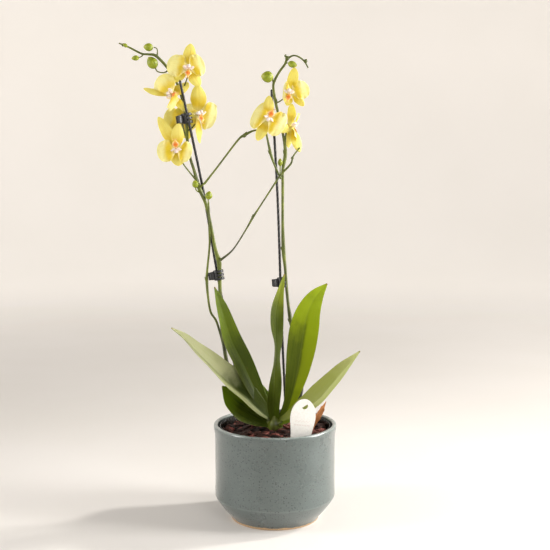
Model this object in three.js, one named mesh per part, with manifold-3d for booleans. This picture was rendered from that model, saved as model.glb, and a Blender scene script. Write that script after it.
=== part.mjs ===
// Moth orchid with yellow flowers in a speckled stoneware pot, standing upright.
// Millimetres, +Z up, the foot of the pot on z = 0 and the pot's axis on the Z axis.
// +X is to the right and -Y is towards the person looking at the flowers.
import * as THREE from 'three';
import { ParametricGeometry } from 'three/addons/geometries/ParametricGeometry.js';
import { mergeVertices } from 'three/addons/utils/BufferGeometryUtils.js';
import Module from 'manifold-3d';

const wasm = await Module();
wasm.setup();

// ---------------------------------------------------------------- driving dimensions
const GAP = 0.32; // clear space left between two pieces that touch
const POT_HEIGHT = 113.5;
const POT_RIM_R = 72.5;
const POT_BODY_R = 71;
const POT_INNER_R = 67.4;
const POT_FOOT_R = 51.6;
const ARRIS_Z = 28; // height of the bevel's upper edge
const POT_FLOOR_Z = 8;
const LINER_TOP_Z = 111.5;
const LINER_TOP_R = 65.4;
const LINER_FLOOR_R = 46;
const LINER_WALL = 0.8;
const BARK_Z = 105.2; // mean height of the bark's surface
const BARK_SIDES = 26;
const STAKE_R = 1.6;
const CLIP_INNER_R = 4.7;
const CLIP_WALL = 1.3;
const CLIP_HEIGHT = 11;
const CLIP_TAB = 6; // length of a finger tab
const LEAF_THICKNESS = 1.7;
const PETAL_THICKNESS = 0.8;
const PETAL_ROOT = 1.1; // how far from the flower's heart a petal or sepal starts, inside the heart
const TAG_THICKNESS = 0.9;
const SMOOTHING = 0.08; // slivers thinner than this are dropped after cutting
const CRUMB = 2; // cubic mm that a cut may leave loose, and which are dropped

const COLOURS = {
  glaze: ['#84938c', 0.35],
  liner: ['#c9cfca', 0.2],
  bark: ['#5a3123', 0.95],
  leaf: ['#4f7a1c', 0.45],
  dryLeaf: ['#b5652c', 0.8],
  stem: ['#6f8f34', 0.5],
  bud: ['#a2b83c', 0.5],
  petal: ['#f1dd55', 0.55],
  lip: ['#f0912f', 0.5],
  stake: ['#15161a', 0.35],
  clip: ['#1b1c20', 0.4],
  tag: ['#f2efe8', 0.6],
};

const vec = (p) => new THREE.Vector3(p[0], p[1], p[2]);

// ---------------------------------------------------------------- solids
// Weld a geometry by position and hand it over as a manifold solid.
function solid(geometry) {
  const bare = new THREE.BufferGeometry();
  bare.setAttribute('position', geometry.getAttribute('position').clone());
  if (geometry.index) {
    bare.setIndex(geometry.index.clone());
  }
  const welded = mergeVertices(bare, 1e-4);
  const points = welded.getAttribute('position').array;
  const corners = welded.index.array;
  let kept = [];
  let volume = 0;
  const at = (i) => new THREE.Vector3(points[3 * i], points[3 * i + 1], points[3 * i + 2]);
  for (let i = 0; i < corners.length; i += 3) {
    const [a, b, c] = [corners[i], corners[i + 1], corners[i + 2]];
    if (a !== b && b !== c && c !== a) {
      kept.push(a, b, c);
      volume += at(a).dot(at(b).cross(at(c)));
    }
  }
  if (volume < 0) {
    kept = kept.reverse();
  }
  return new wasm.Manifold(new wasm.Mesh({
    numProp: 3,
    vertProperties: Float32Array.from(points),
    triVerts: Uint32Array.from(kept),
  }));
}

function joined(solids) {
  return solids.reduce((whole, next) => whole.add(next));
}

// The one body of a piece after cutting. Crumbs are dropped, but a cut that parts the piece is an
// error, because a lost branch or blade would otherwise go unseen.
function whole(name, body) {
  const bodies = body.decompose();
  bodies.sort((a, b) => b.volume() - a.volume());
  const lost = bodies.slice(1).reduce((sum, crumb) => sum + crumb.volume(), 0);
  if (lost > CRUMB) {
    throw new Error(`${name} is cut apart: ${lost.toFixed(1)} cubic mm would be lost`);
  }
  return bodies[0];
}

function toGeometry(body) {
  const mesh = body.getMesh();
  const geometry = new THREE.BufferGeometry();
  const points = new Float32Array((mesh.vertProperties.length / mesh.numProp) * 3);
  for (let i = 0; i < points.length / 3; i += 1) {
    for (let k = 0; k < 3; k += 1) {
      points[3 * i + k] = mesh.vertProperties[mesh.numProp * i + k];
    }
  }
  geometry.setAttribute('position', new THREE.BufferAttribute(points, 3));
  geometry.setIndex(new THREE.BufferAttribute(Uint32Array.from(mesh.triVerts), 1));
  geometry.computeVertexNormals();
  return geometry;
}

// ---------------------------------------------------------------- curves and sweeps
// A smooth run through stations [x, y, z, width, roll]; width and roll ride along.
function runThrough(stations) {
  const place = new THREE.CatmullRomCurve3(stations.map(vec), false, 'catmullrom', 0.5);
  const extra = new THREE.CatmullRomCurve3(
    stations.map((s) => new THREE.Vector3(s[3] ?? 0, s[4] ?? 0, 0)), false, 'catmullrom', 0.5);
  return (t) => {
    const side = extra.getPoint(t);
    return { at: place.getPoint(t), along: place.getTangent(t), width: side.x, roll: side.y };
  };
}

// A closed skin around a run. section(run, s, turn) gives the offset from the run's centre line
// at the angle turn; both ends close on the centre line.
function skin(run, steps, around, section) {
  const rows = steps + 2;
  return solid(new ParametricGeometry((u, v, target) => {
    const row = Math.round(v * rows);
    const t = THREE.MathUtils.clamp((row - 1) / steps, 0, 1);
    const here = run(t);
    target.copy(here.at);
    if (row > 0 && row < rows) {
      target.add(section(here, t, 2 * Math.PI * u));
    }
  }, around, rows));
}

// A tapering round stem; width is its radius.
function stem(stations, steps, grow = 0, sides = 5) {
  return skin(runThrough(stations), steps, sides, (here, t, turn) => {
    const across = new THREE.Vector3().crossVectors(here.along, new THREE.Vector3(0, 1, 0.2));
    across.normalize();
    const out = new THREE.Vector3().crossVectors(across, here.along);
    const r = here.width + grow;
    return across.multiplyScalar(r * Math.cos(turn)).addScaledVector(out, r * Math.sin(turn));
  });
}

// A leaf or petal: width is the half width, roll turns it about its own length, face is the
// direction its upper side looks in, fold is the height of its V against its half width.
function blade(stations, options, grow = 0) {
  const { face, thickness, steps, fold = 0, around = 4 } = options;
  const facing = vec(face).normalize();
  return skin(runThrough(stations), steps, around, (here, t, turn) => {
    const across = new THREE.Vector3().crossVectors(here.along, facing).normalize();
    const up = new THREE.Vector3().crossVectors(across, here.along);
    const roll = THREE.MathUtils.degToRad(here.roll);
    across.applyAxisAngle(here.along, roll);
    up.applyAxisAngle(here.along, roll);
    const out = (here.width + grow) * Math.cos(turn);
    const lift = fold * here.width * Math.abs(out / here.width) ** 1.4;
    return across.multiplyScalar(out)
      .addScaledVector(up, (thickness / 2 + 2 * grow) * Math.sin(turn) + lift);
  });
}

function ball(centre, radius, detail = 0) {
  const geometry = new THREE.IcosahedronGeometry(radius, detail);
  geometry.translate(centre[0], centre[1], centre[2]);
  return solid(geometry);
}

function lathe(profile, sides) {
  const geometry = new THREE.LatheGeometry(profile.map((p) => new THREE.Vector2(p[0], p[1])), sides);
  geometry.rotateX(Math.PI / 2);
  return solid(geometry);
}

// ---------------------------------------------------------------- pot, liner and bark
function makePot() {
  return lathe([
    [0, 0],
    [POT_FOOT_R - 1.2, 0],
    [POT_FOOT_R, 1],
    [POT_FOOT_R + 1.4, 4],
    [60.5, 12.5],
    [67.5, 22.5],
    [POT_BODY_R - 0.3, ARRIS_Z - 0.8],
    [POT_BODY_R, ARRIS_Z + 1.2],
    [POT_BODY_R - 0.1, POT_HEIGHT - 12],
    [POT_BODY_R + 0.6, POT_HEIGHT - 7],
    [POT_RIM_R, POT_HEIGHT - 3],
    [POT_RIM_R - 0.6, POT_HEIGHT - 0.8],
    [POT_RIM_R - 2, POT_HEIGHT],
    [POT_INNER_R + 1.4, POT_HEIGHT - 0.2],
    [POT_INNER_R, POT_HEIGHT - 2],
    [POT_INNER_R - 0.6, POT_HEIGHT - 10],
    [POT_INNER_R - 0.6, ARRIS_Z + 2],
    [50, POT_FLOOR_Z],
    [0, POT_FLOOR_Z],
  ], 36);
}

function makeLiner() {
  const base = POT_FLOOR_Z + GAP;
  return lathe([
    [0, base],
    [LINER_FLOOR_R, base],
    [LINER_TOP_R - 1.2, LINER_TOP_Z - 5],
    [LINER_TOP_R, LINER_TOP_Z - 1],
    [LINER_TOP_R, LINER_TOP_Z],
    [LINER_TOP_R - LINER_WALL, LINER_TOP_Z],
    [LINER_TOP_R - LINER_WALL - 1.2, LINER_TOP_Z - 5],
    [LINER_FLOOR_R - LINER_WALL, base + LINER_WALL],
    [0, base + LINER_WALL],
  ], 32);
}

// Rough ground: a few waves that never line up.
function lump(x, y) {
  const wave = Math.sin(0.31 * x + 1.3) * Math.cos(0.27 * y - 0.4);
  const ripple = Math.sin(0.63 * x - 0.52 * y + 2.1) + Math.cos(0.47 * x + 0.71 * y);
  return 0.5 * wave + 0.35 * ripple;
}

function makeBark() {
  const floorZ = POT_FLOOR_Z + 2 * GAP + LINER_WALL;
  const wallR = LINER_TOP_R - LINER_WALL - 3.3;
  const profile = [[0, floorZ], [LINER_FLOOR_R - LINER_WALL - 1.2, floorZ], [wallR, BARK_Z - 4]];
  for (const r of [59, 49, 38, 26, 13]) {
    profile.push([r, BARK_Z + 2]);
  }
  profile.push([0, BARK_Z + 2]);
  const geometry = new THREE.LatheGeometry(
    profile.map((p) => new THREE.Vector2(p[0], p[1])), BARK_SIDES);
  geometry.rotateX(Math.PI / 2);
  const points = geometry.getAttribute('position');
  for (let i = 0; i < points.count; i += 1) {
    if (points.getZ(i) > BARK_Z) {
      points.setZ(i, points.getZ(i) - 1 + lump(points.getX(i), points.getY(i)));
    }
  }
  return solid(geometry);
}

// ---------------------------------------------------------------- plant
function makeCrown(grow) {
  const base = stem([
    [0, 6, 92, 7], [0, 3, 104, 9.5], [0, 0, 112, 8.5], [-1, 0, 119, 4.5], [-2, 1, 124, 2],
  ], 6, grow, 8);
  const roots = [
    [[0, 4, 100, 3], [-14, -8, 97, 2.8], [-30, -14, 88, 2.6], [-40, -16, 70, 2.2]],
    [[0, 4, 100, 3], [14, -10, 98, 2.8], [30, -20, 86, 2.5], [36, -26, 66, 2.2]],
    [[0, 4, 100, 3], [-10, 18, 97, 2.8], [-20, 34, 84, 2.5], [-24, 40, 62, 2.2]],
    [[0, 4, 100, 3], [-2, 8, 80, 3], [4, 4, 60, 2.8], [2, -4, 38, 2.2]],
  ];
  return joined([base, ...roots.map((run) => stem(run, 6, grow))]);
}

// Leaves: stations of midrib x, y, z, half width and roll, from the crown to the tip.
const FRONT = [0, -1, 0];
const LEAVES = {
  leaf_1: {
    face: [0.35, -0.55, 0.75],
    fold: 0.62,
    run: [
      [-5, 3, 116, 6, 0], [-20, 1, 128, 12, 0], [-38, -2, 146, 17, 0], [-55, -5, 162, 17.5, 0],
      [-74, -8, 182, 14, 4], [-91, -10, 200, 10, 6], [-106, -9, 216, 6, 8], [-121, -8, 228, 0.8, 8],
    ],
  },
  leaf_2: {
    face: FRONT,
    fold: 0.3,
    run: [
      [-6, 8, 117, 6, 10], [-16, 9, 137, 8, 20], [-28, 6, 161, 11, 28],
      [-39, 2, 186, 12.5, 32], [-50, 0, 209, 12.5, 36], [-57, 0, 230, 11, 38],
      [-64, 1, 253, 7.5, 40], [-71, 3, 275, 0.8, 42],
    ],
  },
  leaf_3: {
    face: [0.2, -0.8, 0.6],
    fold: 0.25,
    run: [
      [-7, 2, 112, 6, 0], [-21, 0, 121, 14, 0], [-37, -1, 132, 19, 0], [-51, -4, 144, 15, 0],
      [-62, -8, 159, 1, 0],
    ],
  },
  leaf_4: {
    face: [0.2, -0.9, 0.4],
    fold: 0.3,
    run: [
      [-6, 12, 118, 6, 0], [-17, 10, 134, 10, 0], [-29, 9, 150, 10, 0], [-37, 9, 164, 6, 0],
      [-43, 9, 174, 0.8, 0],
    ],
  },
  leaf_5: {
    face: FRONT,
    fold: 0.28,
    run: [
      [-1, -2, 118, 5.5, 0], [-2, -6, 138, 7.5, 10], [-1, -9, 160, 9, 34], [0, -10, 188, 10, 66],
      [1, -11, 208, 11, 68], [0, -10, 230, 11.5, 52], [1, -9, 249, 9.5, 40], [5, -7, 267, 5.5, 30],
      [11, -4, 291, 0.8, 24],
    ],
  },
  leaf_6: {
    face: FRONT,
    fold: 0.22,
    run: [
      [8, 0, 115, 5.5, 0], [18, -5, 142, 7.5, 0], [25, -8, 172, 13, 0], [30, -10, 202, 16.5, 0],
      [34, -10, 228, 17, 0], [39, -8, 248, 14, 0], [48, -4, 265, 9, 0], [61, 2, 279, 0.8, 0],
    ],
  },
  leaf_7: {
    face: [-0.3, -0.6, 0.75],
    fold: 0.55,
    run: [
      [6, -5, 114, 5.5, 0], [20, -11, 122, 9, 0], [36, -17, 134, 13, 0], [51, -21, 147, 15, 0],
      [66, -24, 165, 12.5, 0], [83, -26, 186, 7.5, 0], [98, -26, 204, 0.8, 0],
    ],
  },
  leaf_8: {
    face: FRONT,
    fold: 0.3,
    run: [
      [-4, 17, 116, 5, 0], [-11, 28, 133, 7.5, 10], [-18, 36, 146, 6, 16], [-25, 42, 158, 0.8, 20],
    ],
  },
};

const SHEATH = [
  [46, -8, 116, 3, 20], [51, -7, 126, 4.5, 30], [55, -6, 133, 3.5, 40], [60, -4, 140, 0.6, 50],
];

// Stakes: nearly straight runs from deep in the bark to their tops.
const STAKES = {
  stake_left: [
    [-27, 31, 50], [-37, 27, 114], [-50, 22.5, 186], [-58, 19.5, 232], [-63.5, 17.5, 262],
    [-71.5, 13.5, 310], [-84.5, 3.5, 394], [-108, -11.5, 513],
  ],
  stake_right: [[16, 47, 50], [13, 43, 119], [9, 34, 206], [7, 28, 262], [3, 20, 380], [-4, 12, 504]],
};

// Flower spikes and side branches: stations of x, y, z and radius, from the crown outwards.
const SPIKES = {
  spike_left: [
    [-10, 10, 106, 2.6], [-28, 17, 122, 2.5], [-46, 16, 148, 2.4], [-57, 14, 182, 2.3],
    [-62, 13, 217, 2.3], [-64, 12, 247, 2.2], [-65, 12, 272, 2.2], [-65.3, 11.2, 294, 2.4],
    [-66, 9, 305, 2.9], [-70, 6.5, 320, 2], [-76, 4, 353, 1.9], [-80.5, 2, 373, 2],
    [-88, 2, 391, 2.5], [-93, 1.5, 409, 1.8], [-98, 1, 426, 1.7], [-101, 0, 446, 1.8],
    [-101.6, -2.2, 468, 1.7], [-105, 3, 485, 1.6], [-112, 6, 509, 1.6], [-122, 3, 526, 1.6],
    [-135, -3, 540, 1.7], [-144, -4, 542, 1.3], [-152, -3, 543, 1.2], [-166, -2, 550, 1.1],
    [-178, 0, 555, 0.8],
  ],
  spike_left_thin: [
    [-10, 16, 106, 1.8], [-24, 22.5, 116, 1.7], [-38, 21, 129, 1.7], [-49, 20, 150, 1.6],
    [-56, 19, 171, 1.6], [-61, 19, 200, 1.5], [-69, 15, 231, 1.4], [-76, 12, 244, 1.4],
    [-79, 11, 262, 1.4], [-80.3, 11, 282, 1.8], [-79.5, 10.5, 296, 1.3], [-76.5, 7, 324, 1.3],
    [-76.5, 0.5, 346, 1.2], [-76.5, -1, 362, 1.2], [-77, -1.5, 374, 1],
  ],
  spike_right: [
    [9, 9, 106, 2.6], [24, 14, 124, 2.4], [32, 18, 152, 2.3], [30, 21, 185, 2.2],
    [24, 23, 211, 2.1], [19, 24, 231, 2.6], [16, 23, 250, 1.9], [14, 23, 269, 1.9],
    [12, 21, 296, 1.8], [10, 19, 317, 2.4], [9, 15, 353, 1.7], [9, 10, 394, 1.7],
    [9, 9, 411, 1.8], [12, 8, 430, 2.2], [10, 8, 448, 1.6], [5, 9, 471, 1.6],
    [1, 8, 488, 1.8], [-2, 5, 506, 1.5], [0, 3, 514, 1.5], [5, 2, 523, 1.4],
    [11, 1, 531, 1.4], [14, 0, 537, 1.4], [21, -1, 541, 1], [28, -1, 539, 1],
    [34, 0, 534, 1], [38, 0, 527, 0.8],
  ],
};

const BRANCHES = {
  branch_left_long: [
    [-64, 5, 306, 1.6], [-49, 1, 319, 1], [-34, -4, 342, 1], [-26, -6, 356, 1.4],
    [-17, -7, 370, 1], [-2, -6, 393, 1.1], [6, -4, 405, 1.3], [18, -3, 418, 1.2],
    [21, -2, 427, 1], [28, 0, 436, 0.8],
  ],
  branch_left_upper: [
    [-82, 1, 395, 1.4], [-67, 2, 414, 1.1], [-43, 1, 445, 1.2], [-35, 1, 451, 1.7],
    [-25, 0, 456, 1.2], [-15, -1, 457, 0.9],
  ],
  branch_right: [
    [7, 4, 401, 1.5], [2, 1, 411, 1.3], [-1, 0, 418, 1.2], [-5, -1, 430, 1.7],
    [-9, -2, 448, 1.2], [-11, -3, 458, 1.5],
  ],
};

// Flower stalks, grown out of the spike or branch that carries the flower. Each ends just
// behind the heart of its flower.
const STALK_END = 5;
const STALKS = {
  spike_left: {
    flower_1: [[-108, 4, 495, 1.3], [-104, 3, 507, 0.9], [-100, -1, 517, 0.9]],
    flower_2: [[-109, 5, 500, 1.3], [-112, 4, 497, 0.9]],
    flower_3: [[-101, -1, 456, 1.3], [-95, 3, 460, 0.9], [-91.5, 5.5, 467, 0.9]],
    flower_4: [[-90, 2, 398, 1.3], [-98, -1, 408, 0.9], [-106, -2, 419, 0.9]],
    flower_5: [[-100, 0, 441, 1.3], [-104, 6, 452, 0.9]],
  },
  spike_right: {
    flower_7: [[0, 8, 489, 1.2], [4, 5, 489, 0.9], [12, 1, 494, 0.9]],
    flower_8: [[11, 7, 432, 1.3], [12, 7, 446, 1]],
  },
  branch_right: {
    flower_6: [[-11, -3, 457, 1.4], [-10, -3, 463, 1.1]],
  },
};

// Short stalks that carry buds.
const TWIGS = {
  spike_left: [
    [[-134, -3, 540, 1], [-134, -4, 548, 0.7], [-138, -4, 550, 0.7]],
    [[-122, 3, 525, 1.1], [-127, 1, 522, 0.8], [-134, -2, 523, 0.8], [-137, -2, 528, 0.9]],
    [[-88, 2, 386, 1], [-90, -2, 387, 0.8], [-91.3, -3.3, 389, 0.8]],
    [[-150, -3, 542.6, 1], [-151.6, -3, 540, 0.7], [-153.8, -3, 538.7, 0.7]],
    [[-165, -2, 549.6, 1], [-166.4, -3.7, 550, 0.7], [-167.2, -4.7, 550.2, 0.7]],
  ],
  spike_right: [
    [[-1, 4, 509, 1.2], [-2.6, 1.4, 513, 0.9], [-2.4, 0, 515.4, 0.9]],
    [[11.5, 0.8, 532, 1.1], [13.2, -0.3, 532.6, 0.8], [14.4, -1.2, 532.8, 0.8]],
  ],
  branch_right: [[[6, 3, 402, 1], [6, 4, 410, 0.8], [6, 4, 414, 0.8]]],
};

// Buds: centre, pointing direction, length and radius.
const BUDS = {
  bud_1: { at: [-170, -5, 552], point: [-0.7, 0, 0.5], length: 6, radius: 2.2 },
  bud_2: { at: [-159, -3, 538], point: [-0.9, 0, -0.1], length: 9, radius: 3 },
  bud_3: { at: [-144, -4, 550], point: [-0.9, 0, 0.1], length: 11, radius: 4.6 },
  bud_4: { at: [-140, -2, 533], point: [-0.5, 0, 0.8], length: 15, radius: 6.2 },
  bud_5: { at: [-92, -4, 395], point: [-0.2, 0, 1], length: 9, radius: 3.6 },
  bud_6: { at: [-76.5, -1.5, 382], point: [0.2, 0, 1], length: 10, radius: 4.2 },
  bud_7: { at: [6, 4, 420], point: [0, 0, 1], length: 9, radius: 2.8 },
  bud_8: { at: [-9, -2, 517], point: [-0.9, -0.2, 0.1], length: 14, radius: 6.6 },
  bud_9: { at: [20, -2, 531], point: [0.9, -0.1, -0.3], length: 11, radius: 3.8 },
};

// Small closed knobs of new growth at the tips of the spikes and branches.
const KNOBS = {
  spike_left: [[-173, -1, 553, 1.7]],
  spike_right: [[14, 0, 538, 2.4], [35, 0, 535, 2.2], [12, 0, 541, 1.5]],
  branch_left_long: [[20, -1, 425, 1.8], [28, 0, 436, 1.2]],
  branch_left_upper: [[-35, 1, 451, 2.4]],
};

// ---------------------------------------------------------------- flowers
// Each flower: centre, the way it faces, the way its dorsal sepal points, then the tips of its
// three sepals and two petals from the centre with half width and roll.
const FLOWERS = {
  flower_1: {
    at: [-98.6, -7, 525.7],
    face: [0.15, -1, 0.1],
    up: [0.1, 0, 1],
    sepals: [[3, 4, 29, 7.6, 0], [-20, 5, -13, 6.5, 0], [13, 5, -19, 7, 0]],
    petals: [[-24, 3, 7, 13, 0], [18, 2, 7, 13, 0]],
  },
  flower_2: {
    at: [-117.6, -5, 496],
    face: [-0.35, -0.85, 0.25],
    up: [-1, 0.1, 0.25],
    sepals: [[-34, 4, 9, 6.5, 40], [17, 9, 16, 8, 0], [14, 3, -18, 6.5, 35]],
    petals: [[-15, 5, 22, 13, 0], [2, -12, -16, 11, 30]],
  },
  flower_3: {
    at: [-88, 0, 475],
    face: [0.65, -0.75, 0.1],
    up: [0, 0, 1],
    sepals: [[1, 5, 34, 9.5, -30], [3, 2, -33, 6.5, -20], [-10, 6, -20, 6.5, 0]],
    petals: [[20, 8, -5, 16, 20], [-13, 8, 12, 11, 0]],
  },
  flower_4: {
    at: [-112, -10, 434],
    face: [-0.1, -1, 0.1],
    up: [0.1, 0, -1],
    sepals: [[1, 1, -18, 8.5, 0], [-22, 4, 38, 6.8, 0], [2, -6, 30, 7.5, 20]],
    petals: [[-23, 0, -2, 12.5, 0], [17, -1, -4, 12, 0]],
  },
  flower_5: {
    at: [-110, 18, 468],
    face: [-0.3, 0.95, 0.1],
    up: [0, 0, 1],
    sepals: [[4, -3, 20, 8, 0], [-11, -3, -20, 7, 0], [9, -3, -21, 7.5, 0]],
    petals: [[-19, -3, 6, 12, 0], [17, -2, 6, 12, 0]],
  },
  flower_6: {
    at: [-8, -12, 469],
    face: [0.2, -1, 0.15],
    up: [-0.5, 0, -0.85],
    sepals: [[-12, 3, -24, 6.5, 0], [2, 3, 27, 6.3, 0], [25, 5, -13, 7.5, 0]],
    petals: [[-16, 3, 9, 18, 0], [19, -1, -10, 15, 0]],
  },
  flower_7: {
    at: [18, -6, 499],
    face: [-0.4, -0.9, 0.05],
    up: [0.1, 0, 1],
    sepals: [[3, 4, 29, 7, 0], [-6, 5, -14, 6, 0], [14, 2, -15, 5.5, 20]],
    petals: [[-9, -3, 1, 12, 0], [21, 4, 6, 11, 0]],
  },
  flower_8: {
    at: [18, 6, 462],
    face: [0.85, 0.4, 0.1],
    up: [0, 0, 1],
    sepals: [[4, -2, 25, 6.3, 30], [0, 5, -25, 5.5, 75], [13, -4, -30, 6.5, 90]],
    petals: [[10, 12, 10, 11, 0], [7, -9, -15, 10, 30]],
  },
};

// Stations of a petal from inside the flower's heart to the tip, a little behind or before the
// heart along the face, and bowed so that its end bends back.
function petalRun(tip, face, before, widths) {
  const start = face.clone().multiplyScalar(before);
  const base = PETAL_ROOT / vec(tip).length();
  return widths.map(([t, w]) => {
    const p = start.clone();
    p.addScaledVector(vec(tip), base + (1 - base) * t);
    p.addScaledVector(face, 2.2 * Math.sin(Math.PI * Math.min(1, 1.15 * t)));
    return [p.x, p.y, p.z, Math.max(0.5, w * tip[3]), tip[4]];
  });
}

const PETAL_WIDTHS = [[0, 0.25], [0.22, 0.68], [0.45, 0.97], [0.68, 1], [0.88, 0.74], [1, 0.16]];
const SEPAL_WIDTHS = [[0, 0.4], [0.25, 0.8], [0.5, 1], [0.75, 0.86], [1, 0.14]];

function makePerianth(tips, face, before, widths, fold, grow) {
  const facing = vec(face).normalize();
  const parts = tips.map((tip) => blade(petalRun(tip, facing, before, widths), {
    face, fold, thickness: PETAL_THICKNESS, steps: 5,
  }, grow));
  const heart = facing.clone().multiplyScalar(before);
  parts.push(ball([heart.x, heart.y, heart.z], 2.1 + grow));
  return joined(parts);
}

// The lip with its column: a hooded column, two upright side lobes and a pointed middle lobe.
function makeLip(flower, grow) {
  const face = vec(flower.face).normalize();
  const up = vec(flower.up).addScaledVector(face, -vec(flower.up).dot(face)).normalize();
  const right = new THREE.Vector3().crossVectors(up, face).negate();
  const spot = (r, u, f, ...rest) => {
    const p = right.clone().multiplyScalar(r).addScaledVector(up, u).addScaledVector(face, f);
    return [p.x, p.y, p.z, ...rest];
  };
  const column = stem([spot(0, 0, 1.6, 1.8), spot(0, 2, 4.5, 2.1), spot(0, 2.2, 7.5, 1.7)], 2, grow, 5);
  const middle = blade([
    spot(0, -0.5, 2.2, 1.6, 0), spot(0, -3.5, 5, 2.4, 0), spot(0, -7, 7, 4, 0),
    spot(0, -11, 8, 3, 0), spot(0, -14, 7.5, 0.5, 0),
  ], { face: face.toArray(), thickness: 1.2, steps: 3, fold: 0.2 }, grow);
  const lobes = [-1, 1].map((side) => blade([
    spot(side * 0.8, -2, 3.4, 1.6, 0), spot(side * 4, -1.5, 6, 3.2, 0),
    spot(side * 6, 1, 8.6, 3, 0), spot(side * 5.4, 3, 10.4, 0.6, 0),
  ], { face: up.toArray(), thickness: 0.8, steps: 2 }, grow));
  return joined([column, middle, ...lobes]);
}

function makeBud(bud, grow) {
  const point = vec(bud.point).normalize();
  const run = [[-0.5, 0.25], [-0.42, 0.62], [-0.2, 0.98], [0.05, 1], [0.3, 0.76], [0.5, 0.18]];
  return stem(run.map(([t, w]) => {
    const p = vec(bud.at).addScaledVector(point, t * bud.length);
    return [p.x, p.y, p.z, w * bud.radius];
  }), 5, grow, 7);
}

// A spike or branch with the flower stalks, bud stalks and knobs that grow out of it.
function makeStem(name, stations, steps, grow) {
  const parts = [stem(stations, steps, grow)];
  for (const [flower, run] of Object.entries(STALKS[name] ?? {})) {
    const { at, face } = FLOWERS[flower];
    const end = vec(at).addScaledVector(vec(face).normalize(), -STALK_END);
    parts.push(stem([...run, [end.x, end.y, end.z, 1.3]], 3, grow, 4));
  }
  parts.push(...(TWIGS[name] ?? []).map((run) => stem(run, 3, grow, 4)));
  parts.push(...(KNOBS[name] ?? []).map((k) => ball(k, k[3] + grow, 1)));
  return joined(parts);
}

// ---------------------------------------------------------------- stakes, clips and tag
function makeStake(run, grow) {
  const outline = new THREE.Shape();
  outline.absarc(0, 0, STAKE_R + grow, 0, 2 * Math.PI);
  const path = new THREE.CatmullRomCurve3(run.map(vec), false, 'catmullrom', 0.5);
  return solid(new THREE.ExtrudeGeometry(outline, {
    steps: 12, curveSegments: 3, bevelEnabled: false, extrudePath: path,
  }));
}

// A sprung claw clip around a stem and its stake. In its own frame +Z runs up the stake and the
// finger tabs point along -X.
const CLIPS = {
  clip_left_upper: { at: [-100.6, -4, 470], turn: 20, lean: -9 },
  clip_left_lower: { at: [-66.3, 13.2, 288], turn: 5, lean: -9 },
  clip_right: { at: [9, 25, 278], turn: 10, lean: -4 },
};

function ringSector(inner, outer, from, to) {
  const shape = new THREE.Shape();
  shape.absarc(0, 0, outer, from, to, false);
  shape.absarc(0, 0, inner, to, from, true);
  return shape;
}

function slab(shape, height, z) {
  const geometry = new THREE.ExtrudeGeometry(shape, {
    depth: height, curveSegments: 4, bevelEnabled: false,
  });
  geometry.translate(0, 0, z);
  return solid(geometry);
}

function makeClip(clip, grow) {
  const inner = CLIP_INNER_R - grow;
  const outer = CLIP_INNER_R + CLIP_WALL + grow;
  const claw = 2.4 + 2 * grow;
  const parts = [];
  for (const z of [-CLIP_HEIGHT / 2, -1.2, CLIP_HEIGHT / 2 - 2.4]) {
    parts.push(slab(ringSector(inner, outer, -0.93 * Math.PI, 0.93 * Math.PI), claw, z - grow));
  }
  const back = ringSector(inner, outer, 0.62 * Math.PI, 0.93 * Math.PI);
  const backLow = ringSector(inner, outer, -0.93 * Math.PI, -0.62 * Math.PI);
  parts.push(slab(back, CLIP_HEIGHT + 2 * grow, -CLIP_HEIGHT / 2 - grow));
  parts.push(slab(backLow, CLIP_HEIGHT + 2 * grow, -CLIP_HEIGHT / 2 - grow));
  const hinge = new THREE.CylinderGeometry(2.3 + grow, 2.3 + grow, CLIP_HEIGHT - 2 + 2 * grow, 8);
  hinge.rotateX(Math.PI / 2);
  hinge.translate(-outer - 1, 0, 0);
  parts.push(solid(hinge));
  for (const side of [-1, 1]) {
    const tab = new THREE.BoxGeometry(CLIP_TAB + 2 * grow, 1.4 + 2 * grow, 8 + 2 * grow);
    tab.rotateZ(-side * 0.42);
    tab.translate(-outer - 3.4, side * 2.6, 0);
    parts.push(solid(tab));
  }
  const matrix = new THREE.Matrix4().makeTranslation(...clip.at);
  matrix.multiply(new THREE.Matrix4().makeRotationY(THREE.MathUtils.degToRad(clip.lean)));
  matrix.multiply(new THREE.Matrix4().makeRotationZ(THREE.MathUtils.degToRad(clip.turn)));
  return joined(parts).transform(matrix.toArray());
}

// The label: a tongue that widens to a round head with a half-moon hole in it.
function makeTag(grow) {
  const shape = new THREE.Shape();
  shape.moveTo(-10, -20);
  shape.lineTo(10, -20);
  shape.lineTo(11.8, 0);
  shape.bezierCurveTo(13, 10, 15.5, 18, 14.3, 24);
  shape.bezierCurveTo(13.5, 34, 7, 41.5, 0, 41.5);
  shape.bezierCurveTo(-7, 41.5, -13.5, 34, -14.3, 24);
  shape.bezierCurveTo(-15.5, 18, -13, 10, -11.8, 0);
  shape.lineTo(-10, -20);
  if (grow === 0) {
    const moon = new THREE.Path();
    moon.absarc(0.6, 33.4, 3.7, Math.PI * 1.2, Math.PI * 0.2, false);
    shape.holes.push(moon);
  }
  const geometry = new THREE.ExtrudeGeometry(shape, {
    depth: TAG_THICKNESS + 2 * grow, curveSegments: 6, bevelEnabled: false,
  });
  geometry.translate(0, 0, -TAG_THICKNESS / 2 - grow);
  geometry.rotateX(Math.PI / 2);
  geometry.rotateY(THREE.MathUtils.degToRad(6.5));
  geometry.rotateZ(THREE.MathUtils.degToRad(8));
  geometry.translate(29.5, -46, 111);
  return solid(geometry);
}

// ---------------------------------------------------------------- all pieces, first come first kept
// Later pieces give way to earlier ones where they would touch.
const pieces = [
  { name: 'pot', colour: 'glaze', make: makePot, yields: false },
  { name: 'nursery_liner', colour: 'liner', make: makeLiner, yields: false },
];

function piece(name, colour, make, at = [0, 0, 0]) {
  pieces.push({ name, colour, make, at, yields: true });
}

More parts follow.
